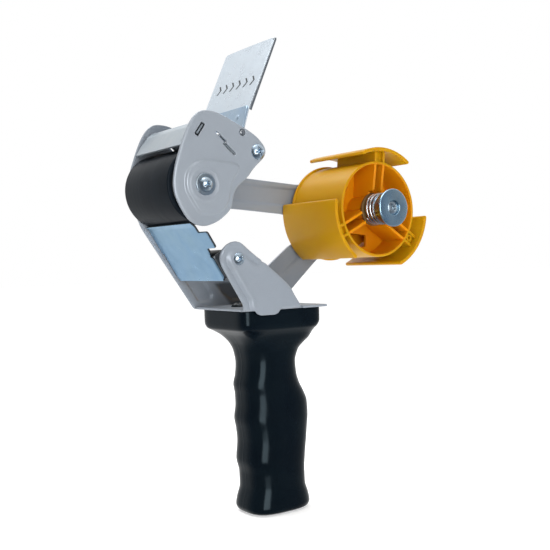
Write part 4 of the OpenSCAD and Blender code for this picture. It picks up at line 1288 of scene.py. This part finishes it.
guide = sheet(gloop, [circle2((gs, gn_ + VO), 3.05, 32), circle2((gs, -gn_ - VO), 3.05, 32)[::-1]], t=1.2, rim=0.3, step=0.7, grid=2.2,
              extra=rows, place=guide_place)
guide_o = make("tape_guide", guide, "guide", ["guide_plate"], M["blue"], 35)
# painted shade: the plate's edges and the lug faces, except those facing +Y, get a dark steel colour that stands in for
# the shade on them
guide_o.data.materials.append(M["guide_shade"])
area_of = {}
for p in guide_o.data.polygons:
    key = tuple(round(abs(v), 1) for v in p.normal)
    area_of[key] = area_of.get(key, 0.0) + p.area
main_k = max(area_of, key=lambda k: area_of[k])
main_n = next(p.normal.copy() for p in guide_o.data.polygons if tuple(round(abs(v), 1) for v in p.normal) == main_k)
for p in guide_o.data.polygons:
    if abs(p.normal.dot(main_n)) < 0.80 and p.normal.y < 0.35:
        p.material_index = 1
make("guide_axle", shaft(-HW, HW, GUIDE, 3.0, 1.5, 10.5, ch=0.3), "frame", ["guide_shaft"], M["bright"], 30)
make("guide_tube", lathe(ring_prof(-25.35, 9, 3.05, 5.5), GUIDE, r=0.5, n=4, seg=64), "frame", ["guide_sleeve"], M["black"], 35)
make("guide_return_spring", helix(GUIDE, 4.2, 0.6, 9.6, 24.6, 9, seg=40, side=12, dead=1.0), "frame", ["guide_spring"], M["wire"], 40)
g = Geo()
g.merge(head(GUIDE, -HO - 0.20, -1, 3.9, 2.0, rim=0.7, cross=True, seg=88, rings=30, dome=1.15, spin=35))
g.merge(thread(GUIDE, -HO - 0.4, -HO + 9.8, 1.5, 0.5, 0.18))
g.merge(head(GUIDE, HO + EH, 1, 3.9, 2.2, rim=0.7, cross=True, seg=88, rings=30, dome=1.15, spin=10))
g.merge(thread(GUIDE, HO + EH - 10.8, HO + EH + 0.2, 1.5, 0.5, 0.18))
make("guide_fixings", g, "frame", ["guide_screws"], M["zinc"], 38)

# ================================================================ tape hub
HR, DR, WALL = 38.5, 30.2, 1.8


def turn(g, deg):
    a = math.radians(deg)
    c, s = math.cos(a), math.sin(a)
    h = Geo()
    h.v = [(x * c + z * s, y, -x * s + z * c) for x, y, z in g.v]
    h.f = list(g.f)
    return h


def polar(r, a):
    a = math.radians(a)
    return (r * math.sin(a), r * math.cos(a))


def round_end(a, sgn):
    """Half circle that closes a curved wall at angle a, from its outer side (sgn 1) or its inner side (sgn -1)."""
    w = 2.3
    c = np.array(polar(HR - w / 2, a))
    rad, tan = np.array(polar(1, a)), np.array(polar(1, a + 90))
    q = [math.pi * k / 7 for k in range(1, 7)]
    return [tuple(c + w / 2 * (sgn * math.cos(t) * rad + sgn * math.sin(t) * tan)) for t in q]


drum = lathe([(-24.1, 28.4), (26, 28.4), (26, 31.6), (24.2, 31.6), (24.2, 30.2), (-24.1, 30.2)], seg=192, r=[0.6, 0.6, 0.7, 0.7, 0.5, 0.6], n=4)
boss = lathe(ring_prof(-18.6, 26, 5.6, 9.2), seg=96, r=0.6, n=3)
web_holes = []
for a in (65, 185, 305):
    c, s = math.cos(math.radians(a)), math.sin(math.radians(a))
    web_holes.append([(x * c + z * s, -x * s + z * c) for x, z in fillet_path([(-8, 15), (8, 15), (8, 23), (-8, 23)], 1.2, 4, closed=True)])
web = prism(circle2((0, 0), 29.4, 144), -4, -2, rim=0.25, step=2.0, holes=[circle2((0, 0), 7.4, 48)] + web_holes)
back = lathe(ring_prof(8.0, 9.5, 7.4, 29.4), r=0.3, n=3, seg=96)
parts = [boss, web, back]
for k in range(3):
    for x in (-4.2, 2.4):
        rib = sheet(fillet_path([(7.2, 14), (7.2, -18.3), (11.3, -18.3), (11.3, -22.6), (28.4, -23.8), (37.2, -23.8), (37.2, 14)],
                                [0.5, 0.5, 0.6, 1.4, 3.0, 1.0, 1.0], 5, closed=True), [], t=1.8, rim=0.45, step=50, grid=0, rim_n=4,
                    place=lambda u, v, w, x=x: (x + w, v, u))
        parts.append(turn(rib, 5 + 120 * k))
    bridge = sheet(fillet_path([(-4.0, 29.4), (4.0, 29.4), (4.0, 37.2), (-4.0, 37.2)], 0.3, 2, closed=True), [], t=1.5, rim=0.35, step=4, grid=0,
                   place=lambda u, v, w: (u, -21.6 + w, v))
    parts.append(turn(bridge, 5 + 120 * k))
    a0, a1 = -23.5 + 120 * k, 38.8 + 120 * k
    WW = 2.3
    de = math.degrees(WW / 2 / (HR - WW / 2))
    arc = [polar(HR, a) for a in np.linspace(a0 + de, a1 - de, 22)]
    arc += round_end(a1 - de, 1)
    arc += [polar(HR - WW, a) for a in np.linspace(a1 - de, a0 + de, 22)]
    arc += round_end(a0 + de, -1)
    wing = prism(arc, -28.2, 26.0, rim=0.5, step=2.4)
    parts.append(wing)
eye = lathe(ring_prof(-24.0, -16, 1.15, 2.2), c=(0.2, 31.9), seg=40, r=0.3, n=3)
parts.append(turn(eye, 125))
cuts = []
for a in (65, 185, 305):
    cuts.append(turn(box_geo(-4, 4, 0, 12, DR - 6, DR + 4, r=0.8), a - 35))
hub = boolean("tape_hub", drum, cuts=cuts, adds=parts)
make("tape_core_hub", hub, "hub", ["tape_hub"], M["yellow"], 30)

g = Geo()
for a, b in ((-18.6, -9.0), (16.4, 26.0)):
    g.merge(lathe(ring_prof(a, b, 4.05, 5.6), r=0.25, n=3, seg=64))
make("hub_sleeves", g, "hub", ["hub_bushings"], M["black"], 35)

ax = lathe([(-36.4, 2.05), (-36.0, 2.05), (-24.2, 2.05), (-23.6, 0), (36, 0), (36, 3.4), (35.4, 4.0), (-35.8, 4.0), (-36.4, 3.5)], seg=64,
           wave=lambda y, q, a: 0.0)
axt = thread((0, 0), 29.9, 36.0, 3.98, 1.25, 0.35, 56)
make("axle", Geo().merge(ax).merge(axt), "frame", ["hub_axle"], M["bright"], 30)

hexa = [polar(7.2, 60 * k + 30) for k in range(6)]
nut = prism(fillet_path(hexa, 0.35, 3, closed=True), WY + 0.9, WY + 6.2, rim=0.3, holes=[circle2((0, 0), 4.05, 40)], step=2.0)
nut = boolean("nut", nut, cuts=[lathe([(WY + 6.4, 5.7), (WY + 6.4, 9), (WY + 4.6, 9), (WY + 4.6, 7.35)], seg=96)],
              adds=[lathe(ring_prof(WY, WY + 1.4, 4.05, 8.0), r=0.5, n=4, seg=96)])
make("flange_nut", nut, "frame", ["axle_nut"], M["zinc"], 28)
make("axle_collar", lathe(ring_prof(26.15, HW, 4.05, 8.5), r=0.2, n=3, seg=72), "frame", ["axle_spacer"], M["bright"], 30)
make("brake_friction_washer", lathe(ring_prof(-20.2, -18.75, 4.05, 10.4), r=0.3, n=3, seg=96), "frame", ["friction_washer"], M["fibre"], 35)
coil = make("brake_coil", helix((0, 0), 9.2, 0.95, -28.6, -20.2, 2.5, seg=64, side=18, dead=0.45, phase=0.9), "brake_washer", ["brake_spring"],
            M["wire"], 45)
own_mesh(coil)
make("brake_pressure_washer", lathe(ring_prof(-29.8, -28.6, 4.05, 9.9), r=0.3, n=3, seg=96), "brake_washer", ["pressure_washer"], M["zinc"], 35)


def knurl(y, q, a):
    if 9.0 < q < 9.7 and -35.6 < y < -30.6:
        return -0.16 * (0.5 + 0.5 * math.cos(60 * a))
    return 0.0


kp = [(-29.85, 4.06), (-29.85, 9.6), (-30.6, 9.6), (-30.8, 9.5), (-35.4, 9.5), (-35.6, 9.6), (-36.3, 9.6), (-36.3, 11.7), (-38.2, 11.7), (-38.2, 4.6), (-36.42, 4.6), (-36.42, 4.06)]
knob = lathe(kp, seg=240, r=[0.2, 0.6, 0.1, 0.1, 0.1, 0.1, 0.5, 0.7, 0.75, 0.45, 0.2, 0.1], n=4)
make("brake_adjuster", knob, "brake_knob", ["brake_knob"], M["knob"], 32)
g = head((0, 0), -36.45, -1, 4.2, 1.55, rim=0.5, cross=True, seg=96, rings=34, dome=2.2, spin=40, slot_w=0.34, slot_l=0.70, depth=1.0)
g.merge(thread((0, 0), -36.6, -25.2, 2.0, 0.7, 0.2))
make("adjuster_lock_screw", g, "frame", ["lock_screw"], M["zinc"], 38)

# ================================================================ pistol grip
GRIP = [(-58.6, -103.7, -46.6, 24.0, 10), (-66.5, -103.6, -46.7, 24.0, 10), (-69.6, -103.0, -47.2, 23.4, 8),
        (-71.4, -100.6, -47.3, 21.8, 6), (-73.8, -97.6, -47.3, 19.8, 4.6), (-77.0, -94.8, -48.0, 18.2, 3.8),
        (-80.0, -92.9, -51.0, 17.0, 3.4), (-84.0, -91.5, -54.6, 15.9, 3.1), (-91.5, -90.4, -56.8, 15.3, 3), (-98.0, -91.1, -56.2, 15.3, 3),
        (-104.0, -92.6, -54.3, 15.5, 3), (-110.0, -91.8, -51.0, 15.6, 3), (-116.0, -91.7, -48.6, 15.8, 3),
        (-124.0, -92.8, -48.2, 16.0, 3), (-131.0, -91.6, -49.1, 16.0, 3), (-138.0, -91.0, -50.0, 16.0, 3),
        (-148.5, -92.0, -51.4, 16.0, 3), (-157.0, -90.2, -52.2, 15.8, 3), (-165.0, -90.0, -52.1, 15.9, 3),
        (-172.0, -92.0, -50.2, 16.8, 3), (-176.4, -92.8, -49.5, 17.1, 3), (-179.0, -91.8, -50.4, 16.3, 3),
        (-180.2, -89.8, -52.4, 14.4, 3)]


def pchip(x, y, q):
    x, y, q = (np.asarray(v, float) for v in (x, y, q))
    h, d = np.diff(x), np.diff(y) / np.diff(x)
    m = np.zeros(len(x))
    for i in range(1, len(x) - 1):
        if d[i - 1] * d[i] > 0:
            w1, w2 = 2 * h[i] + h[i - 1], h[i] + 2 * h[i - 1]
            m[i] = (w1 + w2) / (w1 / d[i - 1] + w2 / d[i])
    m[0], m[-1] = d[0], d[-1]
    k = np.clip(np.searchsorted(x, q) - 1, 0, len(x) - 2)
    t = (q - x[k]) / h[k]
    return ((2 * t ** 3 - 3 * t ** 2 + 1) * y[k] + (t ** 3 - 2 * t ** 2 + t) * h[k] * m[k]
            + (-2 * t ** 3 + 3 * t ** 2) * y[k + 1] + (t ** 3 - t ** 2) * h[k] * m[k + 1])


gz = np.array([-g_[0] for g_ in GRIP])
zs = np.unique(np.round(np.r_[np.arange(58.6, 66.6, 1.0), np.arange(66.0, 92, 0.6), np.arange(92, 172, 1.1), np.arange(172, 180.2, 0.35), 180.2], 3))
cols = [pchip(gz, [g_[k] for g_ in GRIP], zs) for k in (1, 2, 3, 4)]
th = []
for q in np.linspace(0, 2 * math.pi, 145)[:-1]:
    th.append(q)
for c0 in (0.0, math.pi):
    th += [c0 + d for d in (-0.028, -0.018, -0.009, 0.009, 0.018, 0.028)]
th = sorted(set(round(t % (2 * math.pi), 5) for t in th))
verts, faces = [], []
m = len(th)
rows_ = []
for (z, xf, xr, b, e) in zip(zs, *cols):
    xm, a = (xf + xr) / 2, (xr - xf) / 2
    rows_.append((z, xm, a, b, e, 0.0))
# rolled top and bottom edges
top = rows_[0]
rows_ = [(top[0], top[1], top[2] - 0.6, top[3] - 0.6, top[4], 0)] + [(top[0] + 0.18, top[1], top[2] - 0.16, top[3] - 0.16, top[4], 0)] + \
        [(max(r_[0], top[0] + 0.6), *r_[1:]) for r_ in rows_[:1]] + rows_[1:]
bot = rows_[-1]
for q in (0.5, 0.85):
    rows_.append((bot[0] + 0.0 + 0.12 * q, bot[1], bot[2] - 2.2 * q, bot[3] - 2.2 * q, bot[4], 0))
for (z, xm, a, b, e, _) in rows_:
    seam_on = 1.0 if z > 71 else 0.0
    for t in th:
        ct, st = math.cos(t), math.sin(t)
        q = (abs(ct / a) ** e + abs(st / b) ** e) ** (-1 / e)
        x, y = q * ct, q * st
        seam = 0.16 * math.exp(-(y / 0.33) ** 2) * seam_on
        x -= math.copysign(0.16, x) * (1 if seam_on else 0) * (1 - math.exp(-(y / 0.33) ** 2)) * math.exp(-(y / 6.0) ** 2) * 0.5
        verts.append((xm + x, y, -min(z, 180.2 + 0.1)))
r = len(rows_)
for i in range(r - 1):
    for j in range(m):
        k = (j + 1) % m
        faces.append((i * m + j, i * m + k, (i + 1) * m + k, (i + 1) * m + j))
faces.append(tuple(range(m))[::-1])
faces.append(tuple((r - 1) * m + j for j in range(m)))
g = Geo()
g.add(verts, faces)
g.v = [(x, y, max(z, -180.2)) for x, y, z in g.v]
make("pistol_grip", g, "frame", ["handle"], M["grip"], 30)

g = Geo()
for x, sp_ in ((-92, 25), (-61, 50)):
    hd = head((0, 0), 0, 1, 4.2, 2.5, rim=0.7, cross=True, seg=88, rings=30, dome=1.2, spin=sp_)
    hd.merge(thread((0, 0), -16.5, 0.2, 2.0))
    mtx = Matrix.Translation((x, 0, BASE_TOP + 0.01)) @ Matrix.Rotation(math.radians(90), 4, "X")
    g.merge(hd.mapped(mtx))
make("grip_fixings", g, "frame", ["handle_screws"], M["oxide"], 38)


# ================================================================ camera, floor and light
cam_data = bpy.data.cameras.new("camera")
cam = bpy.data.objects.new("camera", cam_data)
scene.collection.objects.link(cam)
right = Vector((0.816281, -0.576836, -0.030750))
up = Vector((0.035162, -0.003517, 0.999375))
fwd = Vector((0.576584, 0.816852, -0.017412))
rot = Matrix((right, up, -fwd)).transposed()
cam.matrix_world = Matrix.Translation((-0.367765, -0.429762, -0.030103)) @ rot.to_4x4()
cam_data.sensor_width = 36.0
cam_data.lens = 861.53 / 550.0 * 36.0
cam_data.clip_start = 0.02
cam_data.clip_end = 30.0
scene.camera = cam
scene.view_settings.view_transform = "Standard"
scene.view_settings.look = "None"
scene.view_settings.exposure = 0.0
scene.view_settings.gamma = 1.0

floor_mesh = bpy.data.meshes.new("floor")
floor_mesh.from_pydata([(-6, -6, -0.1806), (6, -6, -0.1806), (6, 6, -0.1806), (-6, 6, -0.1806)], [], [(0, 1, 2, 3)])
floor = bpy.data.objects.new("floor", floor_mesh)
scene.collection.objects.link(floor)
fm, fnt, fb = new_mat("floor_pale")
fb.inputs["Base Color"].default_value = (0.90, 0.90, 0.90, 1)
fb.inputs["Roughness"].default_value = 1.0
fb.inputs["Specular IOR Level"].default_value = 0.0
fb.inputs["Emission Color"].default_value = (1, 1, 1, 1)
fb.inputs["Emission Strength"].default_value = 0.45
floor_mesh.materials.append(fm)
floor.visible_glossy = False

# studio room: a white backdrop behind the object, darker towards the front, a bright ceiling
world = bpy.data.worlds.new("world")
scene.world = world
world.use_nodes = True
wt = world.node_tree
wt.nodes.clear()
wo = wt.nodes.new("ShaderNodeOutputWorld")
wc = wt.nodes.new("ShaderNodeTexCoord")


def wramp(val, stops):
    r = wt.nodes.new("ShaderNodeValToRGB")
    el = r.color_ramp.elements
    while len(el) < len(stops):
        el.new(0.5)
    for e_, (p, c) in zip(el, stops):
        e_.position = p
        e_.color = (*c, 1) if isinstance(c, tuple) else (c, c, c, 1)
    wt.links.new(val, r.inputs["Fac"])
    return r.outputs["Color"]


def wdot(vec, lo=-1.0, hi=1.0):
    d = wt.nodes.new("ShaderNodeVectorMath")
    d.operation = "DOT_PRODUCT"
    wt.links.new(wc.outputs["Generated"], d.inputs[0])
    d.inputs[1].default_value = vec
    m = wt.nodes.new("ShaderNodeMapRange")
    m.inputs["From Min"].default_value = lo
    m.inputs["From Max"].default_value = hi
    wt.links.new(d.outputs["Value"], m.inputs["Value"])
    return m.outputs["Result"]


side_c = wramp(wdot((0.577, 0.817, 0.0)), [(0.0, 0.10), (0.25, (0.11, 0.12, 0.14)), (0.36, (0.20, 0.23, 0.28)), (0.5, 0.34), (0.67, 0.62), (0.86, 1.0), (1.0, 1.0)])
top_c = wramp(wdot((0.0, 0.0, 1.0)), [(0.0, 0.0), (0.72, 0.0), (0.90, 0.85), (1.0, 1.0)])
wm = wt.nodes.new("ShaderNodeMix")
wm.data_type = "RGBA"
wm.blend_type = "LIGHTEN"
wm.inputs[0].default_value = 1.0
wt.links.new(side_c, wm.inputs[6])
wt.links.new(top_c, wm.inputs[7])
room = wt.nodes.new("ShaderNodeBackground")
wt.links.new(wm.outputs[2], room.inputs["Color"])
white = wt.nodes.new("ShaderNodeBackground")
white.inputs["Color"].default_value = (1, 1, 1, 1)
lp = wt.nodes.new("ShaderNodeLightPath")
wx = wt.nodes.new("ShaderNodeMixShader")
wt.links.new(lp.outputs["Is Camera Ray"], wx.inputs[0])
wt.links.new(room.outputs[0], wx.inputs[1])
wt.links.new(white.outputs[0], wx.inputs[2])
wt.links.new(wx.outputs[0], wo.inputs[0])


def area(name, loc, target, size, power, size_y=None, color=(1, 1, 1)):
    d = bpy.data.lights.new(name, "AREA")
    d.energy = power
    d.shape = "RECTANGLE"
    d.size = size
    d.size_y = size_y or size
    d.color = color
    o = bpy.data.objects.new(name, d)
    o.location = loc
    o.rotation_mode = "QUATERNION"
    o.rotation_quaternion = (Vector(target) - Vector(loc)).to_track_quat("-Z", "Y")
    scene.collection.objects.link(o)
    return o


area("ceiling", (-0.25, 0.25, 1.0), (-0.07, 0, 0), 0.9, 9)
area("front_box", (-0.40, -0.94, 0.0), (-0.07, 0, -0.06), 0.52, 7.8, 0.8)
